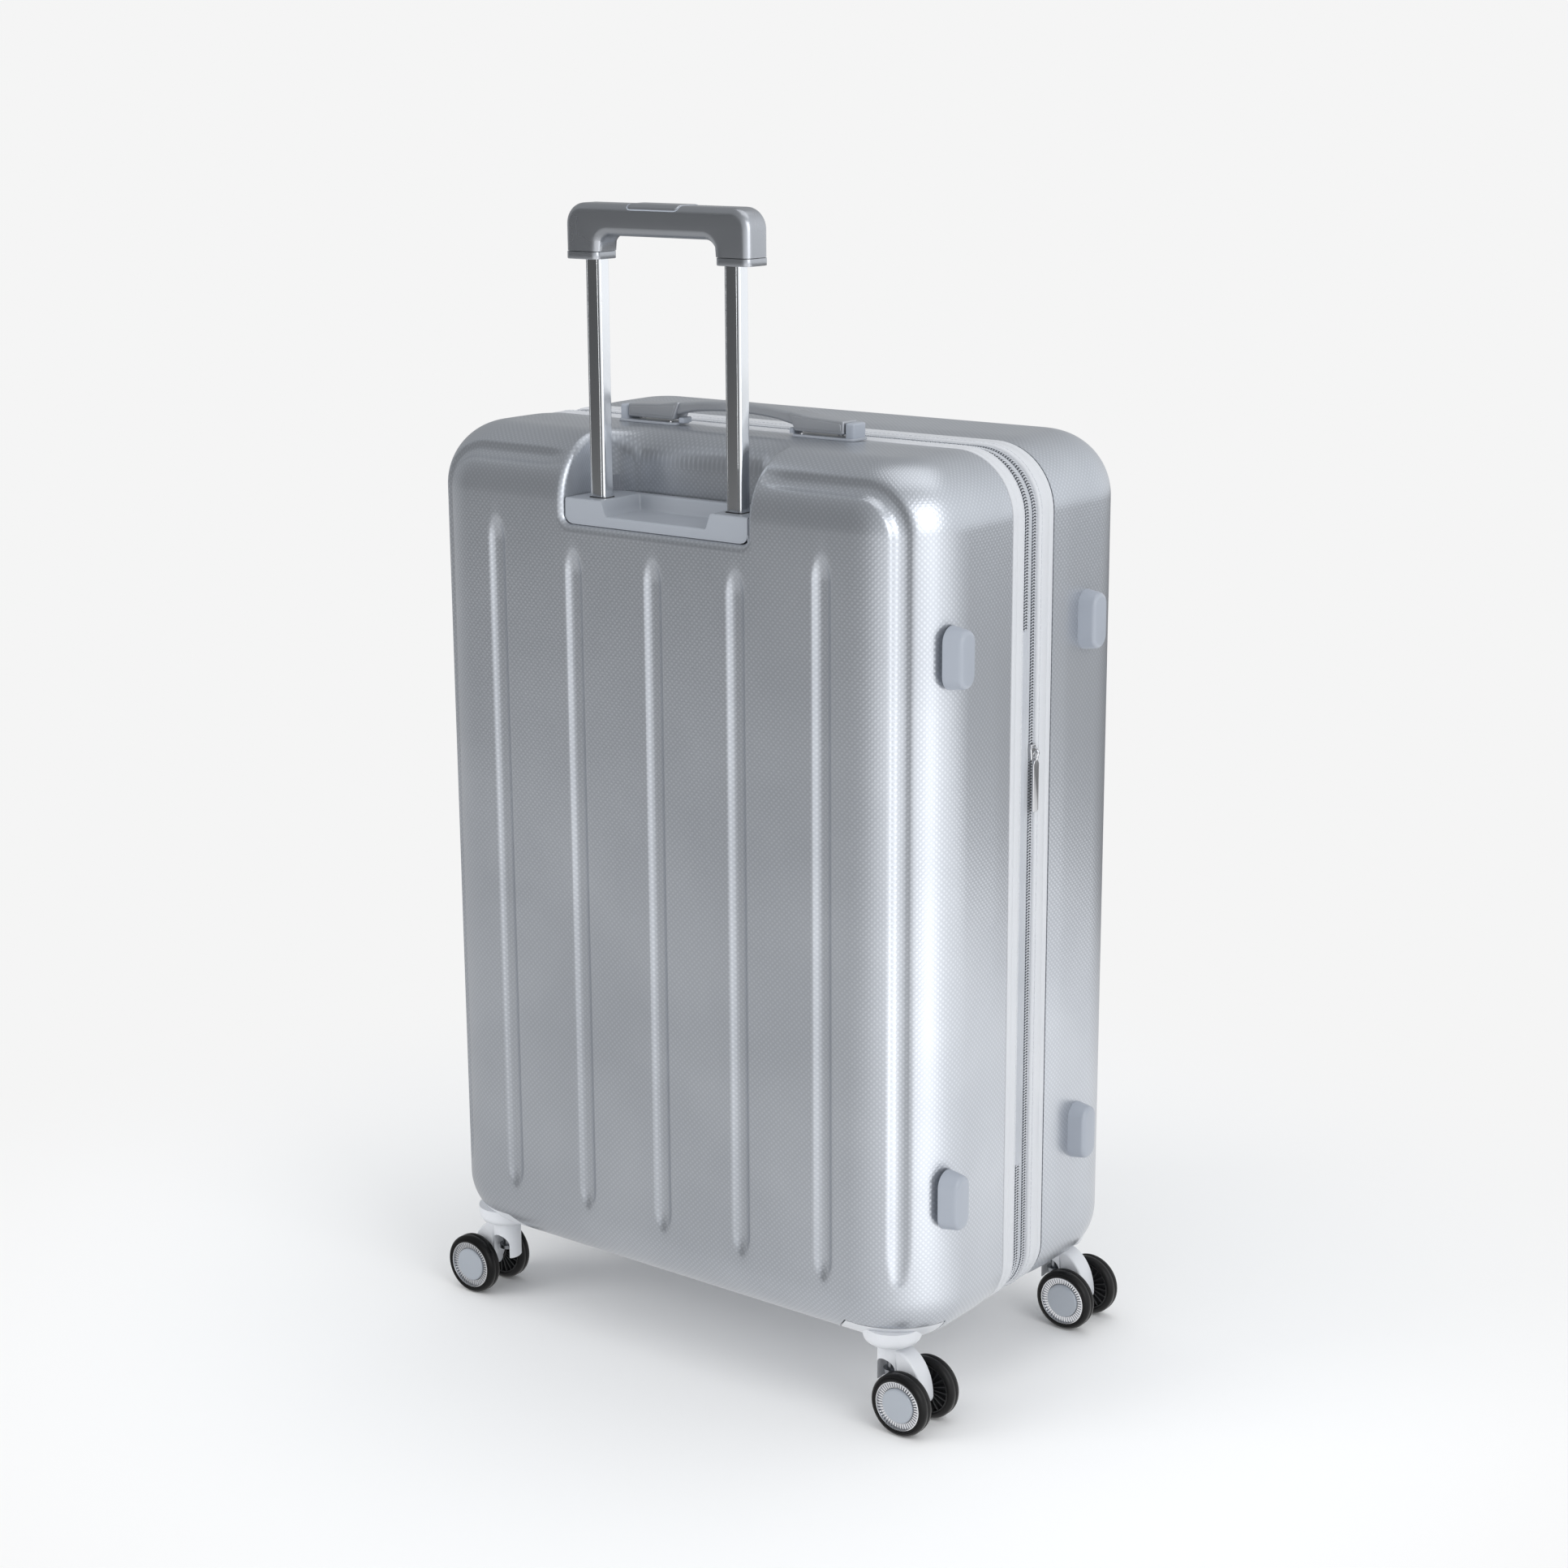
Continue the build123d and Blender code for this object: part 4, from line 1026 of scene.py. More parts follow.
    def skin(self) -> Form:
        """Pressed skin of the half as a grid, with the pocket opening left out."""
        spots, ways, along, side = self.columns()
        table = self.rows()
        rise = table[:, 4]
        spot, way = raised(spots, ways, table)
        flat = np.stack(np.broadcast_arrays(along[None, :], rise[:, None]), -1)
        middle = (spot[:-1, :-1] + spot[1:, :-1] + spot[:-1, 1:] + spot[1:, 1:]) / 4
        keep = np.ones(middle.shape[:2], bool)
        if self.pocket:
            on_face = (np.abs(ways[:-1, 1]) > 0.999) & (np.abs(ways[1:, 1]) > 0.999)
            over = (np.abs(middle[..., 0]) < self.pocket_half) & (middle[..., 2] > self.pocket_low)
            keep &= ~(over & on_face[None, :])
        moved = spot - way * self.pressed(spot, way)[..., None]
        form = Form()
        flip = self.inwards < 0
        form.grid(self.to_frame(moved), flip=flip, flat=flat, keep=keep)
        face_x = spots[np.abs(ways[:, 1]) > 0.99999, 0]
        inner = CASE.half_width - CASE.upright_radius
        face_x = np.unique(np.concatenate([[-inner, inner], face_x]))
        for level, sign in ((CASE.high, 1.0), (CASE.low, -1.0)):
            x, e = np.meshgrid(face_x, side)
            patch = np.stack([x, e, np.full_like(x, level)], -1)
            upward = np.zeros_like(patch)
            upward[..., 2] = sign
            lowered = patch - upward * self.pressed(patch, upward)[..., None]
            start = rise[-1] if sign > 0 else rise[0]
            sheet = np.stack([x, start + sign * (e - CASE.upright_radius)], -1)
            centre = (patch[:-1, :-1] + patch[1:, 1:]) / 2
            kept = np.ones(centre.shape[:2], bool)
            if self.pocket and sign > 0:
                kept = ~((np.abs(centre[..., 0]) < self.pocket_half) & (centre[..., 1] < self.pocket_back))
            form.grid(self.to_frame(lowered), flip=flip != (sign < 0), flat=sheet, keep=kept)
        if self.pocket:
            self.add_pocket(form)
        return form

    def add_pocket(self, form: Form) -> None:
        """Rounded edge and walls of the trolley pocket.

        Args:
            form: Form that takes them.
        """
        edge_start = CASE.high - CASE.top_radius
        far = edge_start + CASE.top_radius * (math.pi / 2 - 1) + self.pocket_back
        half, low = self.pocket_half, self.pocket_low
        corners = ((-half, low), (half, low), (half, far), (-half, far))
        radii = (self.pocket_corner, self.pocket_corner, self.pocket_turn, self.pocket_turn)
        loop = filled(rounded(corners, radii, steps=14), 4.0)
        inward = moved_in(loop, 1.0) - loop
        inward /= np.linalg.norm(inward, axis=1)[:, None]
        ease = np.clip(-inward[:, 1], 0, 1)
        radius = self.pocket_edge + (self.pocket_crest - self.pocket_edge) * ease ** 2 * (3 - 2 * ease)
        bands, flats = [], []
        for angle in np.radians(np.linspace(0, 90, 9)):
            flat = loop + inward * (radius * math.sin(angle))[:, None]
            spot, way = self.profile(flat[:, 1])
            deep = spot - way * (radius * (1 - math.cos(angle)))[:, None]
            bands.append(np.column_stack([flat[:, 0], deep]))
            flats.append(flat - [0, edge_start])
        edge = np.array(bands)
        form.grid(self.to_frame(edge), columns_close=True, flat=np.array(flats))
        inner = edge[-1]
        on_wall = (loop[:, 1] > edge_start - 0.5)
        rows, sheets = [], []
        for share in np.linspace(0, 1, 6):
            wall = inner.copy()
            wall[:, 2] = inner[:, 2] + (edge_start - 2 - inner[:, 2]) * share
            rows.append(wall)
            sheets.append(flats[-1] + np.outer(inner[:, 2] - wall[:, 2], [0, 1]))
        both = on_wall & np.roll(on_wall, -1)
        form.grid(self.to_frame(np.array(rows)), columns_close=True, flat=np.array(sheets),
                  keep=np.tile(both, (5, 1)))
        rim = np.stack([inner, inner + [0, 10, 0]])
        form.grid(self.to_frame(rim), columns_close=True, keep=~both[None, :],
                  flat=np.array([flats[-1], flats[-1]]))
        for corner, radius in zip(np.array(corners), radii):
            near = [k for k in range(len(loop)) if np.abs(loop[k] - corner).max() <= radius + 0.2]
            near.sort(key=lambda k: math.atan2(loop[k][1] - corner[1], abs(loop[k][0] - corner[0])))
            fan = np.stack([loop[near] * (1 - s) + corner * s for s in (0.0, 0.5, 1.0)])
            spot, way = self.profile(fan[..., 1])
            sheet = fan - [0, edge_start]
            spread = np.concatenate([fan[..., :1], spot], -1)
            k = len(near) // 2
            facing = np.cross(spread[0, k + 1] - spread[0, k], spread[1, k] - spread[0, k])
            form.grid(self.to_frame(spread), flat=sheet, flip=facing[1:] @ way[0, k] < 0)

    def build(self) -> None:
        """Make the shell and its two corner housings and seat them."""
        form = self.skin()
        obj = form.piece(self.name + "_skin", SHELL, closed=False)
        work = bmesh.new()
        work.from_mesh(obj.data)
        slope = math.hypot(self.housing_slope, self.housing_top - CASE.low)
        flat = np.array([self.housing_top - CASE.low, self.housing_slope]) / slope

        def beside(point: Vector, side: int) -> Triple:
            """Distance inside the housing's three boundaries."""
            x, e, z = point.x / MM * side, (point.y / MM - self.face) * self.inwards, point.z / MM
            slant = flat[0] * (x - self.housing_inner) - flat[1] * (z - CASE.low)
            return self.housing_top - z, self.housing_reach - e, slant

        for side in (-1, 1):
            planes = (
                (Vector((0, 0, self.housing_top)), Vector((0, 0, 1))),
                (Vector((0, self.face + self.inwards * self.housing_reach, 0)), Vector((0, self.inwards, 0))),
                (Vector((side * self.housing_inner, 0, CASE.low)), Vector((side * flat[0], 0, -flat[1]))),
            )
            for point, normal in planes:
                for shift in (-self.seam, self.seam):
                    near = [f for f in work.faces if min(beside(f.calc_center_median(), side)) > -30]
                    corners = list({v for f in near for v in f.verts})
                    edges = list({e for f in near for e in f.edges})
                    bmesh.ops.bisect_plane(work, geom=corners + edges + near, plane_no=normal,
                                           plane_co=(point + normal * shift) * MM)
        groups: dict[str, list] = {"left": [], "right": [], "gap": []}
        for face in work.faces:
            spot = face.calc_center_median()
            inside = min(beside(spot, 1 if spot.x > 0 else -1))
            if inside > self.seam:
                groups["right" if spot.x > 0 else "left"].append(face)
            elif inside > -self.seam:
                groups["gap"].append(face)
        wall = thickened(CASE.wall)
        for hand, side in (("left", -1), ("right", 1)):
            part = work.copy()
            part.faces.ensure_lookup_table()
            keep = {face.index for face in groups[hand]}
            bmesh.ops.delete(part, geom=[f for f in part.faces if f.index not in keep], context="FACES")
            mesh = bpy.data.meshes.new(f"{self.name}_{hand}")
            part.to_mesh(mesh)
            part.free()
            self.housing(hand, side, mesh, wall)
        bmesh.ops.delete(work, geom=groups["left"] + groups["right"] + groups["gap"], context="FACES")
        mesh = bpy.data.meshes.new(self.name)
        work.to_mesh(mesh)
        work.free()
        bpy.data.objects.remove(obj)
        shell = finished(f"{self.name}_shell_skin", mesh, SHELL, 40.0, wall)
        seat(shell, "shell", f"{self.name}_shell")

    def housing(self, hand: str, side: int, mesh: Mesh, wall: Modifiers) -> None:
        """Make one corner housing: the white corner of the half with the swivel cup under it.

        Args:
            hand: Left or right.
            side: Sign of X.
            mesh: Corner cut out of the skin.
            wall: Modifier that gives it its thickness.
        """
        corner = finished(f"{self.name}_{hand}_corner", mesh, CASTOR, 40.0, wall)
        form = Form()
        place = standing(side * CASE.castor_x, self.face + self.inwards * CASE.castor_depth)
        form.lathe(SWIVEL_CUP, place, 72)
        cup_piece = form.piece(f"{self.name}_{hand}_cup", CASTOR, sharp=50)
        node = f"{self.name}_{hand}_housing"
        seat(corner, "castor_plastic", node)
        seat(cup_piece, "castor_plastic", body=NODE_BODY[node])


# Depth and inset of each corner of the sections that run round the case.
BACK_WELT = [
    (-30.0, 5.6), (-30.0, 2.4), (-29.6, 1.5), (-28.6, 1.1), (-24.4, 1.0), (-24.0, 1.2), (-23.6, 1.0),
    (-16.4, 1.05), (-14.6, 1.5), (-13.5, 2.4), (-13.0, 3.8), (-13.0, 6.4), (-31.0, 6.4), (-31.0, 5.6),
]
FRONT_WELT = [
    (6.0, 6.4), (6.0, 3.8), (6.5, 2.4), (7.6, 1.5), (9.4, 1.05), (18.8, 1.0), (19.2, 1.2), (19.6, 1.0),
    (24.6, 1.1), (25.6, 1.5), (26.0, 2.4), (26.0, 5.6), (27.0, 5.6), (27.0, 6.4),
]
MAIN_TAPE = [(-13.0, 3.9), (-11.6, 3.5), (-9.3, 3.7), (-9.3, 6.9), (-13.0, 6.9)]
ZIP_BAND = [
    (-8.7, 3.7), (-6.6, 3.5), (-5.2, 3.2), (-4.0, 2.9), (-2.8, 3.2), (-1.4, 3.5), (0.7, 3.7),
    (0.7, 9.4), (-8.7, 9.4),
]
EXPANDER_TAPE = [(1.3, 3.7), (3.6, 3.5), (6.0, 3.9), (6.0, 6.9), (1.3, 6.9)]


@dataclass
class Band:
    """Welts, zip tapes, teeth, expander gusset and cloth hinge between the two halves."""

    tooth_pitch: float = 2.3
    tooth_length: float = 2.6
    tooth_radius: float = 0.75
    tooth_inset: float = 2.9
    tooth_lean: float = 0.45
    core_half: float = 1.35
    stitch_pitch: float = 4.2
    stitch_length: float = 3.0
    stitch_radius: float = 0.4
    stitch_inset: float = 1.05
    stitch_lean: float = 40.0
    path_spacing: float = 200.0
    pleats: int = 24
    hinge_span: Pair = (186.0, 616.0)
    hinge_start: float = -13.2
    hinge_end: float = -4.4
    hinge_inset: float = 3.7
    hinge_bulge: float = 1.1
    hinge_ripple: float = 0.12

    def ring(self, name: str, section: Sequence[Pair], finish: Finish, whole: bool = False,
             closed: bool = True) -> Obj:
        """Sweep a section round the case.

        Args:
            name: Name of the piece.
            section: Depth and inset of each corner of the section.
            finish: Material.
            whole: Whether it also runs over the hinge side.
            closed: Whether it closes over the gap that its outline leaves.

        Returns:
            The piece.
        """
        form = Form()
        rows = [layer(CASE.outline(inset, whole), y, along_y) for y, inset in section]
        form.grid(np.array(rows), rows_close=True, columns_close=closed)
        return form.piece(name, finish, sharp=50)

    def row(self, name: str, y: float, inset: float, whole: bool, finish: Finish, **sizes: float) -> Obj:
        """Lay small bars along a line round the case.

        Args:
            name: Name of the piece.
            y: Depth of the line.
            inset: Distance inside the case's outer faces.
            whole: Whether the line also runs over the hinge side.
            finish: Material.
            sizes: Sizes of the bars, by the names of the tree's inputs.

        Returns:
            The piece.
        """
        line = CASE.outline(inset, whole, self.path_spacing)
        mesh = bpy.data.meshes.new(name)
        edges = [(k, k + 1) for k in range(len(line) - 1)]
        mesh.from_pydata((layer(line, y, along_y) * MM).tolist(), edges, [])
        obj = bpy.data.objects.new(name, mesh)
        bpy.context.scene.collection.objects.link(obj)
        return Rows.grow(obj, Rows.teeth(), finish, sharp=60, **sizes)

    def teeth(self, name: str, y: float, way: int, whole: bool, body: str) -> None:
        """Lay one row of zip teeth on its core.

        Args:
            name: Name of the piece.
            y: Depth of the row.
            way: Sign of the way in which the teeth lean along the zip.
            whole: Whether the row also runs over the hinge side.
            body: Body that carries the row.
        """
        teeth = self.row(name, y, self.tooth_inset, whole, COIL, Pitch=self.tooth_pitch * MM,
                         Length=self.tooth_length * MM, Radius=self.tooth_radius * MM,
                         Lean=way * self.tooth_lean)
        seat(teeth, "bright_metal", body=body)
        low, high = y - self.core_half, y + self.core_half
        section = [(low, 4.0), (low + 0.4, 3.1), (high - 0.4, 3.1), (high, 4.0)]
        # The core's dark colour is painted shade in the gaps between the teeth.
        seat(self.ring(name + "_core", section, ZIP_CORE_SHADE, whole, closed=False), "zip_tape", body=body)

    def build(self) -> None:
        """Make every ring, row of teeth and strip, and seat the rings and rows."""
        folds = [(3 + 48 * k / self.pleats, 8.35 + 0.3 * (k % 2)) for k in range(self.pleats + 1)]
        gusset = [(0.9, 8.3)] + folds + [(51.6, 9.3), (0.9, 9.3)]
        for name, section, finish, slot, node in (
            ("back_welt", BACK_WELT, PIPING, "piping", "back_piping"),
            ("front_welt", FRONT_WELT, PIPING, "piping", "front_piping"),
            ("main_tape", MAIN_TAPE, TAPE, "zip_tape", "main_zip_tape"),
            ("zip_band_tape", ZIP_BAND, TAPE, "zip_tape", "zip_band"),
            ("expander_tape", EXPANDER_TAPE, TAPE, "zip_tape", "expander_zip_tape"),
            ("expander_gusset_cloth", gusset, GUSSET, "gusset_cloth", "expander_gusset"),
        ):
            seat(self.ring(name, section, finish), slot, node)
        for name, y, way, whole, node in (
            ("main_teeth_back", -10.35, 1, False, "main_zip_tape"),
            ("main_teeth_lid", -7.65, -1, False, "zip_band"),
            ("expander_teeth_band", -0.35, 1, True, "zip_band"),
            ("expander_teeth_front", 2.35, -1, True, "expander_zip_tape"),
        ):
            self.teeth(name, y, way, whole, NODE_BODY[node])
        for end, y in (("front", 9.2), ("back", -16.2)):
            thread = self.row(f"{end}_welt_stitches", y, self.stitch_inset, True, THREAD,
                              Pitch=self.stitch_pitch * MM, Length=self.stitch_length * MM,
                              Radius=self.stitch_radius * MM, Lean=self.stitch_lean)
            seat(thread, "piping", body=NODE_BODY[f"{end}_piping"])
        self.hinge()

    def hinge(self) -> None:
        """Cloth strip over the gap of the main zip."""
        start, end = self.hinge_start, self.hinge_end
        depth, height = np.meshgrid(np.linspace(start, end, 15), np.linspace(*self.hinge_span, 60))
        bulge = self.hinge_bulge * np.sin(np.pi * (depth - start) / (end - start))
        bulge += self.hinge_ripple * np.sin(height * 0.21)
        form = Form()
        form.grid(np.stack([CASE.half_width - self.hinge_inset + bulge, depth, height], -1))
        obj = form.piece("hinge_cloth", GUSSET, closed=False, modifiers=thickened(0.9))
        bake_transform(obj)
        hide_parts("hinge_tape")


def cleared(points: Array, walls: Sequence[tuple[Array, int, Array | float]]) -> Array:
    """Move points that lie inside every wall of a room out through the nearest one.

    Args:
        points: Points of the frame.
        walls: How far each point is inside the wall, the axis across it, and the way out along that axis.

    Returns:
        The moved points.
    """
    rooms = np.stack([room for room, _, _ in walls])
    inside, least = (rooms > 0).all(0), rooms.min(0)
    result = points.copy()
    for room, axis, way in walls:
        result[..., axis] += np.where(inside & (room == least), room * way, 0.0)
    return result


@dataclass
class Lining:
    """Cloth lining of one half, pushed out over the wheel wells and the trolley pocket."""

    name: str
    face: float
    inwards: int
    floor: float
    rim: float
    inset: float
    pocket: bool
    thickness: float = 1.2
    clearance: float = 0.1
    well_top: float = 89.3
    well_depth: float = 60.3
    well_inner: float = 147.0
    well_run: float = 21.0
    well_rise: float = 25.0
    pocket_depth: float = 66.4
    pocket_low: float = 678.8
    pocket_half: float = 97.2

    def build(self) -> None:
        """Make the lining and seat it."""
        depth = abs(self.rim - self.floor) + self.inset
        half = Shell(self.name, self.floor - self.inwards * self.inset, self.inwards, depth, False, ())
        radius, top, base = CASE.upright_radius, CASE.top_radius, CASE.bottom_radius
        flat = CASE.half_width - radius
        side = np.linspace(radius, depth, 6)[1:] if depth > radius + 2 else np.array([depth])
        face_x = np.linspace(-flat, flat, 48)
        spots, ways = plan(side, np.radians(np.linspace(0, 90, 13)), face_x[1:-1])
        table = [(d, CASE.low, 0.0, -1.0) for d in (radius, radius - 10)]
        table += shoulder(base, CASE.low, -1, np.linspace(90, 0, 10))
        table += [(0.0, z, 1.0, 0.0) for z in np.linspace(CASE.low + base, CASE.high - top, 70)[1:-1]]
        table += shoulder(top, CASE.high, 1, np.linspace(0, 90, 12))
        table.append((radius, CASE.high, 0.0, 1.0))
        spot, way = raised(spots, ways, np.array(table))
        inset, flip = self.inset + self.clearance, self.inwards < 0
        form = Form()
        form.grid(self.pushed(half.to_frame(spot - way * inset)), flip=flip)
        for level, turned in ((CASE.high - inset, flip), (CASE.low + inset, not flip)):
            x, e = np.meshgrid(face_x, np.append(radius, side))
            patch = half.to_frame(np.stack([x, e, np.full_like(x, level)], -1))
            form.grid(self.pushed(patch), flip=turned)
        obj = form.piece(f"{self.name}_lining_cloth", LINING, weld=0.4, sharp=60, closed=False,
                         modifiers=thickened(self.thickness))
        seat(obj, "lining_cloth", f"{self.name}_lining")

    def pushed(self, points: Array) -> Array:
        """Move points that would lie in a wheel well or the pocket to the nearest side of it.

        Args:
            points: Points of the frame.

        Returns:
            The moved points.
        """
        x, y, z = np.moveaxis(points, -1, 0)
        lean = np.clip(z - CASE.low, 0, self.well_rise) * self.well_run / self.well_rise
        result = cleared(points, (
            (self.well_top - z, 2, 1.0),
            (self.well_depth - (y - self.face) * self.inwards, 1, self.inwards),
            (np.abs(x) - (self.well_inner + lean), 0, -np.sign(x)),
        ))
        if not self.pocket:
            return result
        x, y, z = np.moveaxis(result, -1, 0)
        return cleared(result, (
            (self.pocket_depth - (y - self.face) * self.inwards, 1, self.inwards),
            (z - self.pocket_low, 2, -1.0),
            (self.pocket_half - np.abs(x), 0, np.sign(x)),
        ))


def build_straps() -> None:
    """Two packing straps on the floor of the back half."""
    half_length, half_width, floor = 184.0, 12.5, -110.2
    form = Form()
    x = np.linspace(-half_length, half_length, 93)
    for height in (290.0, 520.0):
        ripple = np.abs(0.25 * np.sin(x * 0.05 + height) + 0.12 * np.sin(x * 0.13))
        rows = [np.stack([x, floor + ripple, np.full(len(x), height + across)], -1)
                for across in np.linspace(-half_width, half_width, 9)]
        form.grid(np.array(rows))
    obj = form.piece("packing_strap_webbing", WEBBING, closed=False, modifiers=thickened(1.4, 1.0))
    seat(obj, "webbing", "packing_straps")


@dataclass
class Trolley:
    """Bezel in the pocket, tubes, grip and release button."""

    tube_x: float = 67.2
    y: float = -131.5
    tube_width: float = 15.0
    tube_depth: float = 12.5
    tube_low: float = 278.0
    tube_high: float = 915.0
    grip_low: float = 887.6
    grip_high: float = 929.6
    grip_half: float = 88.5
    grip_depth: float = 27.0

    def bezel(self) -> None:
        """Dished plastic tray that the tubes come up through."""
        half, front, back, edge, corner = 89.5, 3.5, 58.5, 1.6, 7.0
        low, high, dish = 685.0, 705.0, 693.0
        dish_half, dish_back, dish_slope = 48.5, 45.5, 6.0
        turn_from, turn_run, turn_half, turn_reach = 45.0, 13.5, 60.5, 32.5
        share = np.unique(np.concatenate(
            [np.linspace(-1, 1, 61), np.linspace(-0.66, -0.5, 15), np.linspace(0.5, 0.66, 15)]))

        def level(x: Array, e: float) -> Array:
            """Height of the tray's upper side."""
            across = np.clip((np.abs(x) - dish_half) / dish_slope, 0, 1)
            rise = np.maximum(across, np.clip((e - dish_back) / dish_slope, 0, 1))
            return dish + (high - dish) * rise * rise * (3 - 2 * rise)

        rows = []
        for height in (0.0, 1.0, 2.0, 3.5, 5.0, 7.0):
            x = share * (half - corner + math.sqrt(corner ** 2 - (corner - height) ** 2))
            under = np.minimum(low + height, level(x, front) - edge)
            rows.append(np.stack([x, 0 * x + front, under], -1))
        for angle in np.radians(np.linspace(0, 90, 5)):
            x = share * half
            e = front + edge * (1 - math.cos(angle))
            rows.append(np.stack([x, 0 * x + e, level(x, front + edge) - edge * (1 - math.sin(angle))], -1))
        depths = [np.linspace(front + 4, 44, 9), np.linspace(45, 52, 11), np.linspace(53, back - 1, 5)]
        for e in np.concatenate(depths):
            narrow = np.clip((e - turn_from) / turn_run, 0, 0.98)
            x = share * min(half, turn_half + turn_reach * math.sqrt(1 - narrow * narrow))
            rows.append(np.stack([x, 0 * x + e, level(x, e)], -1))
        grid = np.array(rows) + [0, CASE.back_face, 0]
        form = Form()
        form.grid(grid)
        for column, flip in ((0, True), (-1, False)):
            rim = grid[5:, column]
            form.grid(np.stack([rim, rim * [1, 1, 0] + [0, 0, low]]), flip=flip)
        obj = form.piece("trolley_bezel_tray", BEZEL, closed=False, sharp=45, modifiers=thickened(1.2))
        seat(obj, "bezel_plastic", "trolley_bezel")
        outer, inner = rectangle(8.6, 7.4, 3.6), rectangle(7.7, 6.5, 3.0)
        layers = ((outer, -1.0), (outer, 0.25), (moved_in(outer, 0.3), 0.5), (inner, 0.5), (inner, -1.0))
        collar = Form()
        for side in (-1, 1):
            place = standing(side * self.tube_x, self.y)
            rows = [layer(shape, high + lift, place) for shape, lift in layers]
            collar.grid(np.array(rows), rows_close=True, columns_close=True)
        seat(collar.piece("tube_collars", INNER), "inner_plastic", body=NODE_BODY["trolley_bezel"])

    def tubes(self) -> None:
        """Two aluminium tubes with crowned long sides and drawn grooves beside the corners."""
        a, b, corner = self.tube_width / 2, self.tube_depth / 2, 2.2
        groove, groove_x, crown = 0.4, 4.9, 0.5
        flat = a - corner
        corners = rectangle(a, b - crown, corner)
        cuts = [(x + step, deep) for x in (-groove_x, groove_x)
                for step, deep in ((-groove, 0), (-groove * 0.4, 1), (groove * 0.4, 1), (groove, 0))]
        cuts += [(x, 0) for x in np.linspace(-groove_x + 1, groove_x - 1, 11)]
        outline: list[Pair] = []
        for start, end in zip(corners, np.roll(corners, -1, 0)):
            outline.append(tuple(start))
            if abs(end[0] - start[0]) > flat:
                for x, deep in sorted(cuts, reverse=bool(end[0] < start[0])):
                    level = b - crown * (x / flat) ** 2 - groove * deep
                    outline.append((x, math.copysign(level, start[1])))
        shape = np.array(outline)
        form = Form()
        for side in (-1, 1):
            place = standing(side * self.tube_x, self.y)
            rows = [layer(shape, h, place) for h in np.linspace(self.tube_low, self.tube_high, 14)]
            form.grid(np.array(rows), columns_close=True)
            form.cap(len(rows), len(shape))
        seat(form.piece("trolley_tube_pair", TUBE, sharp=30), "tube_alloy", "trolley_tubes")

    def grip(self) -> None:
        """Grip with a parting line above the leg ends, and the release button in its top."""
        half, low, high, leg, bar = self.grip_half, self.grip_low, self.grip_high, 32.0, 24.0
        seam, edge = low + 6.0, 7.0
        body = rounded(
            [(-half, seam), (-half, high), (half, high), (half, seam), (half - leg, seam),
             (half - leg, high - bar), (-half + leg, high - bar), (-half + leg, seam)],
            (0, 16, 16, 0, 0, 11, 11, 0), steps=12)

        def steady(a: Array, b: Array, h: Array) -> Array:
            """Place the upright outline with its lowest edge kept level."""
            return np.stack([a, h, np.where((b > seam - 6.5) & (b < seam + 6.4), seam, b)], -1)

        reach = self.grip_depth / 2
        form = Form()
        form.prism(body, self.y - reach, self.y + reach, steady, edge, edge, steps=7)
        seat(form.piece("trolley_grip_body", GRIP, sharp=40), "grip_plastic", "trolley_grip")
        ends = Form()
        for side in (-1, 1):
            foot = rectangle(leg / 2, reach, 6.2, 7) + [side * (half - leg / 2), self.y]
            ends.prism(foot, low, seam - 0.45, plain_space, 0.6, 0.2, steps=2)
        seat(ends.piece("trolley_grip_ends", GRIP, sharp=40), "grip_plastic", body=NODE_BODY["trolley_grip"])
        self.button()

    def button(self) -> None:
        """Release button that wraps over the grip's front edge, in its pale frame."""
        flat, bend, front, back, half, slant, corner = 6.5, 7.0, 13.5, -7.5, 26.0, 5.0, 2.5
        depth = front - back

        def put(x: Array, s: Array, lift: Array) -> Array:
            """Point at a length s from the grip's middle towards the front, lifted off its surface."""
            angle = np.maximum(s - flat, 0) / bend
            y = self.y - np.minimum(s, flat) - (bend + lift) * np.sin(angle)
            return np.stack([x, y, self.grip_high - bend + (bend + lift) * np.cos(angle)], -1)

        edge = [(0.0, -3.0), (0.0, -0.1), (0.25, 0.35), (0.7, 0.6)]
        inside = [(k, 0.6) for k in np.linspace(1.5, depth - 1.5, 20)]
        along = edge + inside + [(depth - d, h) for d, h in edge[::-1]]
        share = np.linspace(0.04, 0.96, 24)
        lifts = [h for _, h in edge] + [0.6] * len(share) + [h for _, h in edge[::-1]]
        grid = []
        for d, lift in along:
            close = max(0.0, corner - min(d, depth - d))
            trim = corner - math.sqrt(corner ** 2 - close ** 2)
            left, right = -half + trim, half - slant * d / depth - trim
            x = [left + e for e, _ in edge] + list(left + (right - left) * share)
            x += [right - e for e, _ in edge[::-1]]
            grid.append(put(np.array(x), np.full(len(x), back + d), np.minimum(lifts, lift)))
        form = Form()
        form.grid(np.array(grid))
        seat(form.piece("release_button", GRIP, sharp=50, closed=False), "button_plastic", "grip_button")
        loop = rounded([(-half, back), (half, back), (half - slant, front), (-half, front)], corner, steps=5)
        loop = counterclockwise(filled(loop, 1.5))
        frame_edge = ((-1.5, -0.4), (-1.4, 0.12), (-1.0, 0.3), (-0.55, 0.12), (-0.45, -0.6))
        rows = [layer(moved_in(loop, inset), lift, put) for inset, lift in frame_edge]
        rim = Form()
        rim.grid(np.array(rows), rows_close=True, columns_close=True)
        seat(rim.piece("button_frame", FOOT, sharp=50), "grip_plastic", body=NODE_BODY["trolley_grip"])

    def build(self) -> None:
        """Make every piece of the trolley."""
        self.bezel()
        self.tubes()
        self.grip()


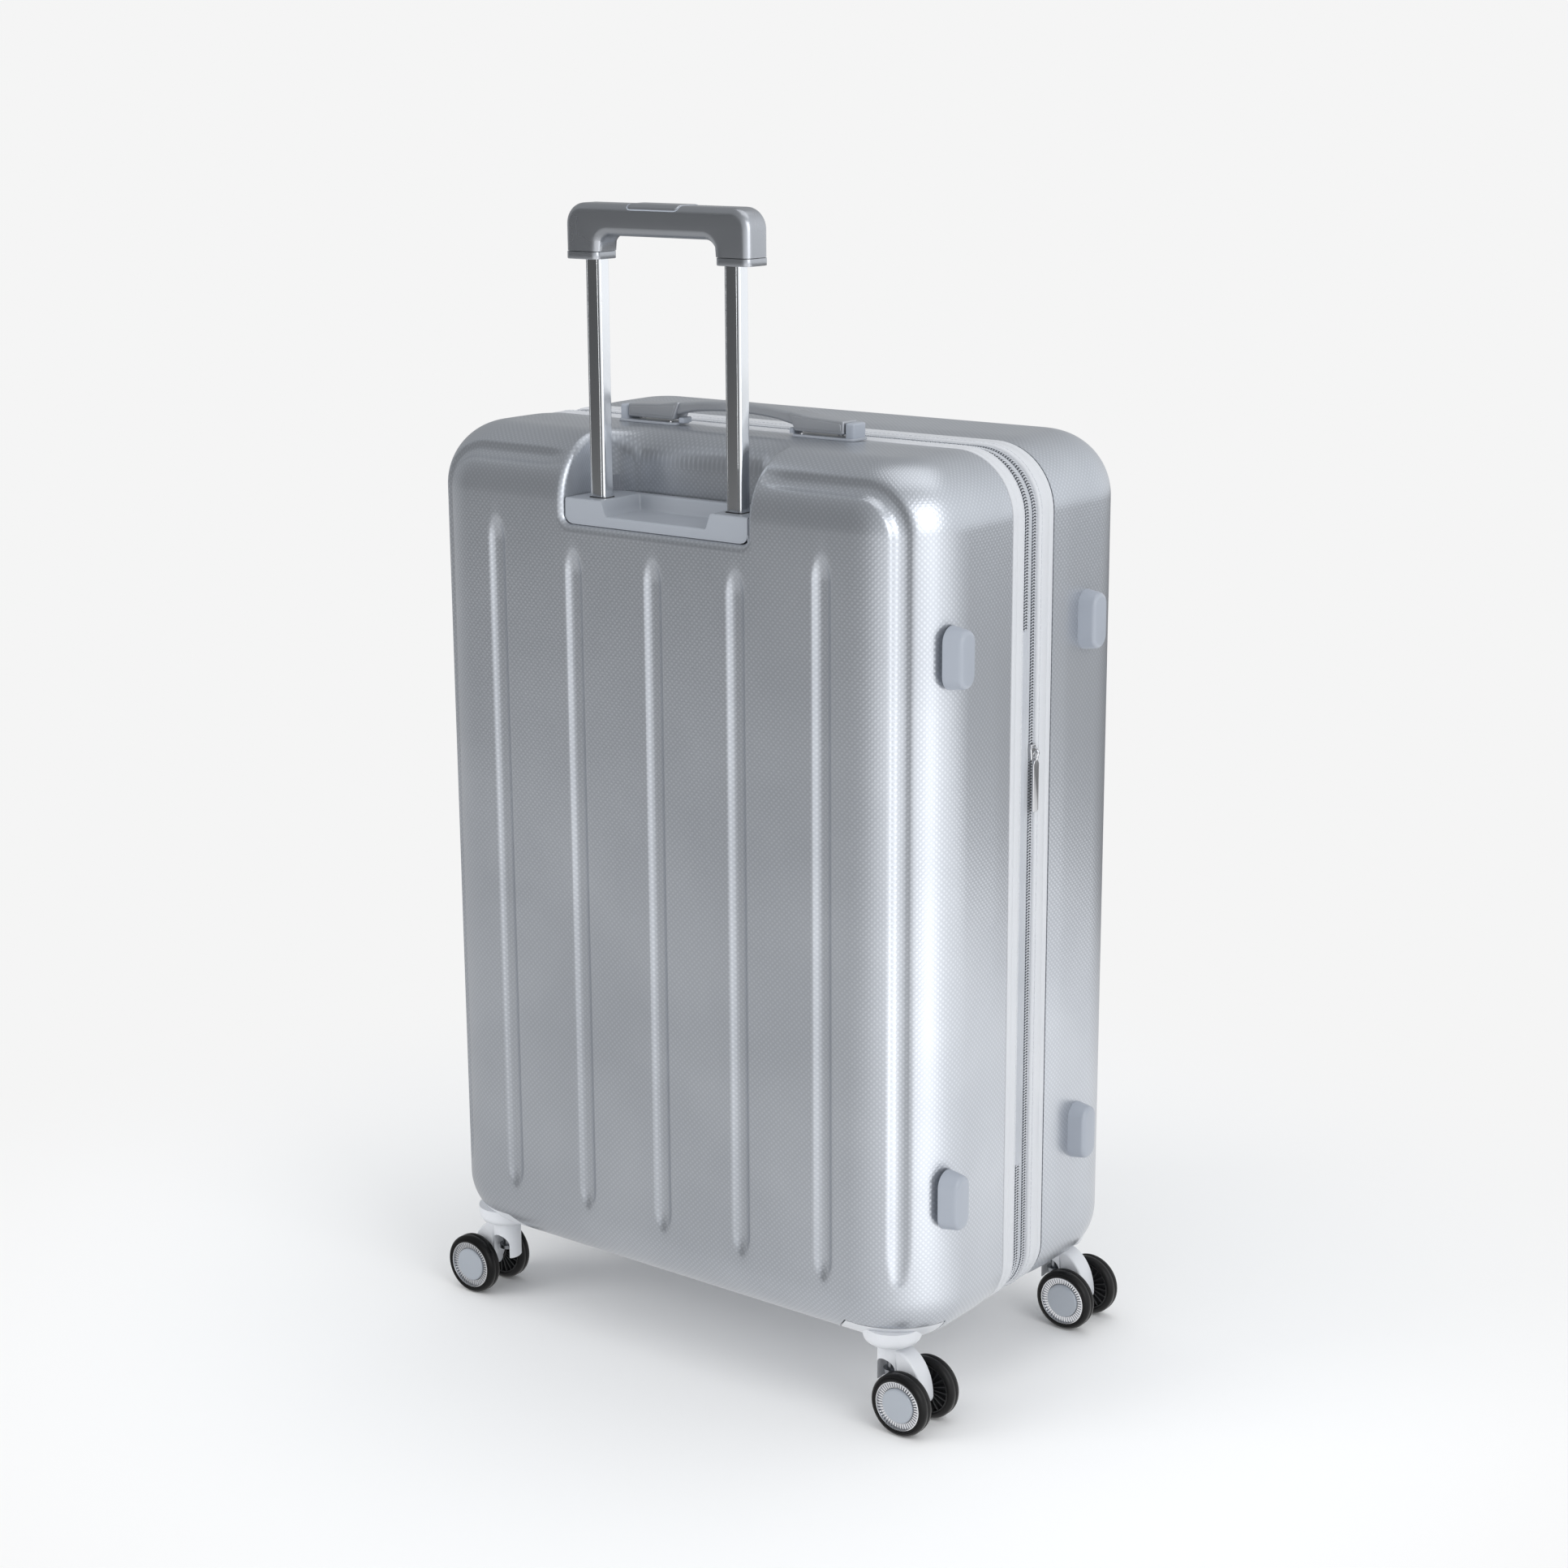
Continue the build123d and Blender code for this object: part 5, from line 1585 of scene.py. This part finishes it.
@dataclass
class CarryHandle:
    """Carry handle on its two seat plates."""

    name: str
    origin: Triple
    along: Triple
    up: Triple
    rise: float
    shoulder_rise: float
    end_rise: float
    thickness: float
    length: float = 232.0
    width: float = 19.0
    bar_width: float = 14.6

    def place(self, across: bool) -> Place:
        """Placing function for an outline that lies along the handle.

        Args:
            across: Whether heights run across the handle instead of up from its seat.

        Returns:
            Function of two outline coordinates and a height.
        """
        origin, along, up = (np.array(v, float) for v in (self.origin, self.along, self.up))
        aside = np.array([0.0, 1.0, 0.0])

        def put(a: Array, b: Array, h: Array) -> Array:
            first, second = (up, aside) if across else (aside, up)
            return origin + a[..., None] * along + b[..., None] * first + h[..., None] * second

        return put

    def build(self) -> None:
        """Make the bar with its end blocks, and the seat plates with their posts, tabs and screws."""
        end, gap, top_drop = self.length / 2, 4.2, 0.6
        root, neck, shoulder, block_end, block_top = end - 56.0, end - 74.0, end - 42.0, end - 9.6, end - 62.0
        under, neck_rise = self.rise - self.thickness, self.rise - self.thickness - 2.5
        root_rise = min(gap + 3.0, neck_rise)

        def top(x: Array | float) -> Array | float:
            """Height of the upper side between the shoulders."""
            return self.rise - (self.rise - self.shoulder_rise) * (x / shoulder) ** 2

        over = np.linspace(-shoulder, shoulder, 25)
        below = np.linspace(neck, -neck, 25)
        bar = Form()
        bar.prism(np.concatenate([
            np.stack([over, top(over) - top_drop], 1), [(shoulder, root_rise), (root + 2, root_rise)],
            np.stack([below, under - (under - neck_rise) * (below / neck) ** 2], 1),
            [(-root - 2, root_rise), (-shoulder, root_rise)],
        ]), -self.bar_width / 2, self.bar_width / 2, self.place(True), 2.2, 2.2, steps=5)
        block = np.array([(root, gap), (block_end, gap), (block_end, self.end_rise + 0.4),
                          (shoulder, self.shoulder_rise), (block_top, top(block_top))])
        upright, flat = self.place(True), self.place(False)
        seat_top, post_half = 1.8, 4.5
        ends, plates, tabs, screws = Form(), Form(), Form(), Form()
        for sign in (-1, 1):
            shape = counterclockwise(block * [sign, 1])
            for inset, half, edge in ((0.0, self.width / 2 - 0.5, 1.2), (2.2, self.width / 2, 0.45)):
                ends.prism(rounded(moved_in(shape, inset), 1.4, steps=5), -half, half, upright, edge, edge)
            plates.prism(rectangle(30, 11.5, 6.0) + [sign * 87.0, 0], 0.0, 1.9, flat, 0.2, 0.7)
            post = rectangle(post_half, 8.5, 3.0, 5) + [sign * (end - post_half), 0]
            tabs.prism(post, seat_top, self.end_rise - 0.8, flat, 0.1, 1.6)
            tab = rectangle(2.6, 6.0, 1.6, 4) + [sign * (root - 5.0), 0]
            tabs.prism(tab, seat_top, root_rise - 1.2, flat, 0.1, 1.2)
            head = arc((sign * (root + 5.0), -6.5), (1.7, 1.7), 0, 360, 17)[:-1]
            screws.prism(head, seat_top, 3.2, flat, 0.0, 0.5, steps=3)
        union = ends.piece(f"{self.name}_handle_blocks", HANDLE)
        grip = bar.piece(f"{self.name}_handle_grip", HANDLE, sharp=38,
                         modifiers=boolean("UNION", union, use_self=True))
        bpy.data.objects.remove(union)
        seat(grip, "handle_plastic", f"{self.name}_handle_bar")
        nodes = ("handle_plates",) if self.name == "top" else ()
        body = NODE_BODY["handle_plates"]
        seat(plates.piece(f"{self.name}_handle_seats", BEZEL, sharp=40), "handle_plastic", *nodes, body=body)
        seat(tabs.piece(f"{self.name}_handle_tabs", FOOT, sharp=40), "handle_plastic", body=body)
        seat(screws.piece(f"{self.name}_handle_screws", BRIGHT, sharp=40), "bright_metal", body=body)


def build_feet() -> None:
    """Four pads that the case stands on when it is laid on its hinge side."""
    radius, straight, root, face = 9.5, 12.0, 246.4, 262.0
    upper = arc((0.0, straight), (radius, radius), 0, 180, 19)
    slot = np.concatenate([upper, -upper])
    for name, y in (("back", -111.0), ("front", 73.0)):
        form = Form()
        for height in (612.0, 191.0):
            form.prism(slot + [y, height], root, face, lambda a, b, h: np.stack([h, a, b], -1), 0.0, 3.2,
                       grow_low=2.4, steps=6)
        seat(form.piece(f"{name}_foot_pads", FOOT, sharp=40), "foot_plastic", f"{name}_feet")


# Radius and height of the fork's stem.
FORK_STEM = [
    (9.0, 33.4), (9.5, 33.0), (11.2, 33.0), (11.8, 33.7), (11.8, 65.6), (11.4, 66.4), (10.8, 66.7),
    (4.2, 66.7), (4.2, 43.2), (9.0, 43.2),
]
# Radius, and distance outwards from the wheel's middle.
TREAD = [
    (20.3, -5.6), (20.3, 5.6), (20.6, 6.2), (21.1, 6.5), (21.7, 6.5), (21.95, 6.15), (22.2, 6.15),
    (22.45, 6.5), (23.1, 6.35), (23.3, 6.0), (23.55, 5.95), (23.8, 6.0), (24.6, 5.2), (25.2, 4.2),
    (25.5, 2.8), (25.5, 0.5), (25.25, 0.25), (25.25, -0.25), (25.5, -0.5), (25.5, -2.8), (25.2, -4.2),
    (24.6, -5.2), (23.6, -6.0), (22.4, -6.5), (21.1, -6.5), (20.6, -6.2),
]
HUB_CAP = [
    (0.0, 6.5), (6.0, 6.5), (11.0, 6.4), (13.2, 6.25), (13.8, 6.0), (14.1, 5.6), (14.2, 5.0),
    (14.2, 2.0), (0.0, 2.0),
]
HUB_RING = [
    (20.3, 2.2), (20.3, 5.5), (20.2, 6.1), (19.8, 6.35), (19.4, 6.2), (19.1, 5.4), (18.9, 2.9), (14.7, 2.7),
    (14.7, 2.2),
]
WHEEL_BACK = [
    (3.2, -5.2), (5.6, -5.2), (6.2, -4.4), (6.2, -1.5), (19.2, -1.5), (19.4, -5.0), (20.3, -5.4), (20.3, 2.1),
    (14.3, 2.1), (13.2, 2.0), (3.2, 2.0),
]
HUB_RIBS = {"Count": 48, "Radius": 16.8 * MM, "Size": (4.4 * MM, 1.1 * MM, 1.9 * MM), "Height": 3.5 * MM}
SPOKES = {"Count": 20, "Radius": 12.7 * MM, "Size": (13.2 * MM, 0.9 * MM, 3.0 * MM), "Height": -3.0 * MM}


@dataclass
class Castor:
    """One double castor: fork, tyres, hubs with their ribbed rings."""

    name: str
    side: int
    y: float
    trail: float = 22.0
    track: float = 38.0
    axle_z: float = 25.5

    def fork(self) -> None:
        """White fork: a stem and a horn that curves down to the axle."""
        x, y, side, node = self.side * CASE.castor_x, self.y, self.side, f"{self.name}_fork"
        axle, boss, horn_half, edge = (self.trail, self.axle_z), 9.0, 8.5, 1.8

        def put(a: Array, b: Array, h: Array) -> Array:
            """Place an upright outline that runs from the stem towards the axle."""
            return np.stack([x + side * a, y + h, b], -1)

        stem = Form()
        stem.lathe(FORK_STEM, standing(x, y))
        opening = Form()
        arch = np.concatenate([arc((-0.4, 45.0), (8.6, 9.0), 0, 180, 17), [(-9.0, 28.0), (8.2, 28.0)]])
        opening.prism(arch, -20.0, 20.0, put)
        cutter = opening.piece(f"{self.name}_arch", CASTOR)
        obj = stem.piece(f"{node}_stem", CASTOR, sharp=38, modifiers=boolean("DIFFERENCE", cutter))
        bpy.data.objects.remove(cutter)
        seat(obj, "castor_plastic", body=NODE_BODY[node])
        horn = np.concatenate([
            arc((5.9, self.axle_z), (28.1, 37.5), 90, 0, 15),
            arc(axle, (12.0, boss), 0, -90, 15)[1:],
            arc(axle, (boss, boss), -90, -180, 15)[1:],
            [(9.6, 33.4), (9.6, 43.0), (9.0, 50.0)],
        ])
        form = Form()
        form.prism(horn, -horn_half, horn_half, put, edge, edge)
        seat(form.piece(f"{node}_horn", CASTOR, sharp=38), "castor_plastic", node)

    def wheel(self, number: int, away: int) -> None:
        """One wheel: tyre, hub cap, ribbed ring and dark inner side with spokes.

        Args:
            number: 1 or 2.
            away: Sign of Y of its outer side.
        """
        x, middle = self.side * (CASE.castor_x + self.trail), self.y + away * self.track / 2
        tyre, hub = f"{self.name}_tyre_{number}", f"{self.name}_hub_{number}"

        def put(a: Array, b: Array, h: Array) -> Array:
            """Place a form that is turned round the axle."""
            return np.stack([x + a, middle + away * h, self.axle_z + b], -1)

        tread = Form()
        tread.lathe(TREAD, put, 96)
        seat(tread.piece(f"{self.name}_tread_{number}", TYRE, sharp=50), "tyre_rubber", tyre)
        cap = Form()
        cap.lathe(HUB_CAP, put, 72, close=False)
        seat(cap.piece(f"{self.name}_cap_{number}", HUB, sharp=40), "hub_plastic", hub)
        turn = Matrix((
            (1, 0, 0, x * MM), (0, 0, away, middle * MM), (0, 1, 0, self.axle_z * MM), (0, 0, 0, 1)))
        for label, profile, steps, finish, slot, bars in (
            ("ring", HUB_RING, 96, RING, "bright_metal", HUB_RIBS),
            ("spokes", WHEEL_BACK, 72, INNER, "hub_plastic", SPOKES),
        ):
            form = Form()
            form.lathe(profile, plain_space, steps)
            obj = form.piece(f"{self.name}_{label}_{number}", finish, sharp=40)
            Rows.grow(obj, Rows.ribs(), finish, **bars)
            obj.data.transform(turn)
            if turn.determinant() < 0:
                obj.data.flip_normals()
            seat(obj, slot, body=NODE_BODY[tyre])

    def build(self) -> None:
        """Make every piece of the castor."""
        self.fork()
        self.wheel(1, -1)
        self.wheel(2, 1)


@dataclass
class ZipSlider:
    """Zip slider with its bridge, ring and flat pull."""

    name: str
    side: int
    y: float
    z: float
    foot: float = 244.8

    def build(self) -> None:
        """Make the slider and its pull."""
        def put(a: Array, b: Array, h: Array) -> Array:
            """Place an outline on the zip, with heights out of the case."""
            return np.stack([self.side * (self.foot + h), self.y + a, self.z + b], -1)

        body = Form()
        half = [(2.6, -6.5), (3.0, -1.5), (3.7, 2.5), (3.2, 6.5)]
        outline = rounded([(-2.6, -6.5)] + half + [(-a, b) for a, b in half[:0:-1]], 1.2, steps=4)
        body.prism(outline, 0.0, 3.0, put, 0.3, 1.1)
        angles = np.radians(np.linspace(0, 180, 17))
        across, out = arc((0.0, 0.0), (1.25, 0.75), 0, 360, 11)[:-1].T
        rows = [put(across, b + out * math.cos(angle), h + out * math.sin(angle))
                for (b, h), angle in zip(arc((0.0, 2.8), (4.0, 4.4), 0, 180, 17), angles)]
        body.grid(np.array(rows), columns_close=True)
        seat(body.piece(f"{self.name}_slider_body", BRIGHT, sharp=40), "bright_metal",
             f"{self.name}_zip_slider")
        pull = Form()
        tab = rounded([(-3.9, -46.6), (3.9, -46.6), (3.9, -8.6), (1.9, -5.2), (-1.9, -5.2), (-3.9, -8.6)],
                      (1.6, 1.6, 2.4, 1.4, 1.4, 2.4), steps=5)
        pull.prism(tab, 3.8, 5.6, put, 0.5, 0.6, steps=3)
        reach, across = arc((3.4, 0.0), (0.8, 0.9), 0, 360, 9)[:-1].T
        ring = [put(across, -2.6 + reach * math.sin(angle), 4.6 + 0.55 * reach * math.cos(angle))
                for angle in np.radians(np.linspace(0, 360, 33)[:-1])]
        pull.grid(np.array(ring), rows_close=True, columns_close=True)
        seat(pull.piece(f"{self.name}_pull_tab", BRIGHT, sharp=40), "bright_metal", f"{self.name}_zip_pull")


def dress_frame() -> None:
    """Give the CAD nodes that stay in sight their materials."""
    plain = {
        "trolley_sleeves": SLEEVE, "trolley_base": INNER, "release_yoke": STEEL, "handle_pins": BRIGHT,
        "back_swivel_pins": STEEL, "front_swivel_pins": STEEL,
    }
    for castor in ("back_left", "back_right", "front_left", "front_right"):
        plain[f"{castor}_axle"] = STEEL
    for node, finish in plain.items():
        data = frame["nodes"][node].data
        data.materials.clear()
        data.materials.append(finish.material())


# Studio

@dataclass
class Studio:
    """Floor, lights and camera of the photograph."""

    yaw: float = 37.26
    pitch: float = 14.29
    roll: float = -0.324
    spot: Triple = (1.3817, -1.805, 1.0367)
    lens: float = 65.70
    backdrop: str = "F5F5F5"
    paper: str = "F6F6F6"
    surround: str = "F3F5F7"
    lit_side: Triple = (1.0, 0.0, 0.0)
    world_side: Triple = (1.0, 0.3, -0.5)
    floor_span: Pair = (-0.35, 1.0)
    floor_levels: Pair = (0.68, 1.75)
    world_span: Pair = (-0.75, 0.75)
    world_levels: Pair = (0.42, 1.35)
    soft_level: float = 0.85
    strip_slope: float = 0.14
    strip_shift: float = 0.16
    strip_half: float = 0.42
    strip_light: float = 1.8
    strip_start: Pair = (0.3, 0.7)
    dark_side: Triple = (-0.6, -0.8, 0.0)
    floor_edge: Pair = (2.2, 4.0)
    world_edge: Pair = (0.75, 0.92)
    dark_level: float = 0.26
    floor_back: Pair = (0.85, 1.5)
    back_level: float = 0.22
    fade_from: float = 0.35
    fade_to: float = 0.95

    def ramp(self, tree: Tree, place: Socket, way: Triple, span: Pair, levels: Pair) -> Socket:
        """Brightness that changes smoothly along a direction.

        Args:
            tree: Tree that takes the nodes.
            place: Socket with the place or direction.
            way: Direction along which it changes.
            span: Where the change starts and ends along that direction.
            levels: Brightness before and after the change.

        Returns:
            Socket with the brightness.
        """
        along = add_node(tree, "ShaderNodeVectorMath", {0: place, 1: way}, operation="DOT_PRODUCT")
        value = add_node(tree, "ShaderNodeMapRange",
                         {0: along.outputs["Value"], 1: span[0], 2: span[1], 3: levels[0], 4: levels[1]},
                         interpolation_type="SMOOTHSTEP")
        return value.outputs[0]

    def floor(self) -> None:
        """Pale floor that fades into the backdrop away from the case."""
        form = Form()
        reach = np.linspace(0, 6000, 13)[:, None]
        turn = np.linspace(0, 2 * math.pi, 49)
        form.grid(np.stack([reach * np.cos(turn), reach * np.sin(turn), 0 * reach * turn], -1))
        material = bpy.data.materials.new("matt_paper_floor")
        material.use_nodes = True
        tree = material.node_tree
        tree.nodes.clear()
        spot = add_node(tree, "ShaderNodeTexCoord").outputs["Object"]
        path = add_node(tree, "ShaderNodeLightPath").outputs
        reached = add_node(tree, "ShaderNodeVectorMath", {0: spot}, operation="LENGTH")
        fade = add_node(tree, "ShaderNodeMapRange",
                        {0: reached.outputs["Value"], 1: self.fade_from, 2: self.fade_to, 3: 0.0, 4: 1.0},
                        interpolation_type="SMOOTHSTEP")
        # Past the paper's edge on the shaded side the studio is dark, which smooth metal mirrors.
        mirrored = self.ramp(tree, spot, self.lit_side, self.floor_span, self.floor_levels)
        for factor in (
            self.ramp(tree, spot, self.dark_side, self.floor_edge, (1.0, self.dark_level)),
            self.ramp(tree, spot, (0.0, 1.0, 0.0), self.floor_back, (1.0, self.back_level)),
        ):
            dimmed = add_node(tree, "ShaderNodeMath", {0: mirrored, 1: factor}, operation="MULTIPLY")
            mirrored = dimmed.outputs[0]
        # A bright strip on the lit side, which the upright corner of the case mirrors along its whole height.
        parts = add_node(tree, "ShaderNodeSeparateXYZ", {0: spot})
        aside = add_node(tree, "ShaderNodeVectorMath", {0: spot, 1: (self.strip_slope, 1.0, 0.0)},
                         operation="DOT_PRODUCT")
        from_strip = add_node(tree, "ShaderNodeMath", {0: aside.outputs["Value"], 1: self.strip_shift})
        off = add_node(tree, "ShaderNodeMath", {0: from_strip.outputs[0]}, operation="ABSOLUTE")
        near = add_node(tree, "ShaderNodeMapRange",
                        {0: off.outputs[0], 1: 0.0, 2: self.strip_half, 3: self.strip_light, 4: 0.0},
                        interpolation_type="SMOOTHSTEP")
        start, full = self.strip_start
        ahead = add_node(tree, "ShaderNodeMapRange",
                         {0: parts.outputs["X"], 1: start, 2: full, 3: 0.0, 4: 1.0})
        strip = add_node(tree, "ShaderNodeMath", {0: near.outputs[0], 1: ahead.outputs[0]},
                         operation="MULTIPLY")
        lit = add_node(tree, "ShaderNodeMath", {0: strip.outputs[0], 1: mirrored})
        glossy = path["Is Glossy Ray"]
        card = add_node(tree, "ShaderNodeMix", {0: glossy, 2: 1.0, 3: lit.outputs[0]})
        seen = add_node(tree, "ShaderNodeMath", {0: path["Is Camera Ray"], 1: glossy}, use_clamp=True)
        far = add_node(tree, "ShaderNodeMath", {0: fade.outputs[0], 1: glossy}, operation="MAXIMUM")
        share = add_node(tree, "ShaderNodeMath", {0: far.outputs[0], 1: seen.outputs[0]},
                         operation="MULTIPLY")
        paper = add_node(tree, "ShaderNodeBsdfDiffuse", {"Color": linear(self.paper)})
        glow = add_node(tree, "ShaderNodeEmission",
                        {"Color": linear(self.backdrop), "Strength": card.outputs[0]})
        mixed = add_node(tree, "ShaderNodeMixShader",
                         {0: share.outputs[0], 1: paper.outputs[0], 2: glow.outputs[0]})
        add_node(tree, "ShaderNodeOutputMaterial", {0: mixed.outputs[0]})
        obj = form.piece("studio_floor", PIPING, closed=False)
        obj.data.materials.clear()
        obj.data.materials.append(material)

    def world(self) -> None:
        """Surrounding light, brighter on one side, with the backdrop's colour where the camera sees it."""
        world = bpy.data.worlds.new("studio_world")
        bpy.context.scene.world = world
        world.use_nodes = True
        tree = world.node_tree
        tree.nodes.clear()
        path = add_node(tree, "ShaderNodeLightPath")
        place = add_node(tree, "ShaderNodeTexCoord")
        way = place.outputs["Generated"]
        sided = self.ramp(tree, way, self.world_side, self.world_span, self.world_levels)
        gloom = self.ramp(tree, way, self.dark_side, self.world_edge, (1.0, self.dark_level))
        mirrored = add_node(tree, "ShaderNodeMath", {0: sided, 1: gloom}, operation="MULTIPLY")
        level = add_node(tree, "ShaderNodeMix", {0: path.outputs["Is Diffuse Ray"], 2: mirrored.outputs[0],
                                                 3: self.soft_level})
        around = add_node(tree, "ShaderNodeBackground",
                          {"Color": linear(self.surround), "Strength": level.outputs[0]})
        seen = add_node(tree, "ShaderNodeBackground", {"Color": linear(self.backdrop), "Strength": 1.0})
        mixed = add_node(tree, "ShaderNodeMixShader",
                         {0: path.outputs["Is Camera Ray"], 1: around.outputs[0], 2: seen.outputs[0]})
        add_node(tree, "ShaderNodeOutputWorld", {0: mixed.outputs[0]})

    def lamp(self, name: str, spot: Triple, aim: Triple, size: Pair, power: float,
             mirrored: bool = True) -> None:
        """One soft box.

        Args:
            name: Name of the lamp.
            spot: Where it stands, in metres.
            aim: What it points at, in metres.
            size: Width and height, in metres.
            power: Power in watts.
            mirrored: Whether shiny surfaces show it.
        """
        data = bpy.data.lights.new(name, "AREA")
        data.shape = "RECTANGLE"
        data.size, data.size_y = size
        data.energy = power
        obj = bpy.data.objects.new(name, data)
        obj.location = spot
        obj.rotation_euler = (Vector(aim) - Vector(spot)).to_track_quat("-Z", "Y").to_euler()
        obj.visible_glossy = mirrored
        bpy.context.scene.collection.objects.link(obj)

    def camera(self) -> None:
        """Camera at the photograph's place and angle."""
        yaw, pitch, roll = (math.radians(v) for v in (self.yaw, self.pitch, self.roll))
        ahead = Vector((-math.sin(yaw) * math.cos(pitch), math.cos(yaw) * math.cos(pitch), -math.sin(pitch)))
        right = Vector((math.cos(yaw), math.sin(yaw), 0.0))
        up = right.cross(ahead)
        right_turned = right * math.cos(roll) + up * math.sin(roll)
        up_turned = up * math.cos(roll) - right * math.sin(roll)
        data = bpy.data.cameras.new("camera")
        data.lens = self.lens
        data.sensor_width = 36.0
        data.clip_end = 50.0
        obj = bpy.data.objects.new("camera", data)
        turn = Matrix((right_turned, up_turned, -ahead)).transposed().to_4x4()
        turn.translation = Vector(self.spot)
        obj.matrix_world = turn
        bpy.context.scene.collection.objects.link(obj)
        bpy.context.scene.camera = obj

    def build(self) -> None:
        """Set up the whole studio."""
        bpy.context.scene.view_settings.view_transform = "Standard"
        self.floor()
        self.world()
        middle = (0.0, 0.0, 0.42)
        self.lamp("key_right", (2.3, -0.7, 1.5), middle, (1.4, 1.8), 20.0)
        self.lamp("top", (0.3, 0.4, 2.6), middle, (1.6, 1.6), 8.0)
        self.lamp("fill_left", (-1.6, -2.2, 1.2), middle, (1.6, 1.6), 26.0, mirrored=False)
        self.camera()


def main() -> None:
    """Build every piece, the frame's materials and the studio."""
    logging.basicConfig(level=logging.INFO, format="%(name)s: %(message)s")
    Shell("back", CASE.back_face, 1, 122.0, True, (684.0, 665.0, 665.0, 665.0, 684.0),
          channel_end=109.0).build()
    Shell("front", CASE.front_face, -1, 126.0, False, (684.0,) * 5).build()
    Band().build()
    Lining("back", CASE.back_face, 1, -112.0, -25.0, 6.5, True).build()
    Lining("front", CASE.front_face, -1, 146.0, 27.0, 10.0, False).build()
    build_straps()
    Trolley().build()
    CarryHandle("top", (0.0, -43.0, 753.0), (1, 0, 0), (0, 0, 1), 22.0, 16.0, 14.0, 8.0).build()
    CarryHandle("side", (-248.0, -65.0, 420.0), (0, 0, 1), (-1, 0, 0), 14.0, 11.5, 10.0, 5.0).build()
    build_feet()
    for end, face, inwards in (("back", CASE.back_face, 1), ("front", CASE.front_face, -1)):
        for hand, side in (("left", -1), ("right", 1)):
            Castor(f"{end}_{hand}", side, face + inwards * CASE.castor_depth).build()
    ZipSlider("main", -1, -9.0, 400.0).build()
    ZipSlider("expander", 1, 1.0, 519.5).build()
    dress_frame()
    Studio().build()


if __name__ == "__main__":
    main()
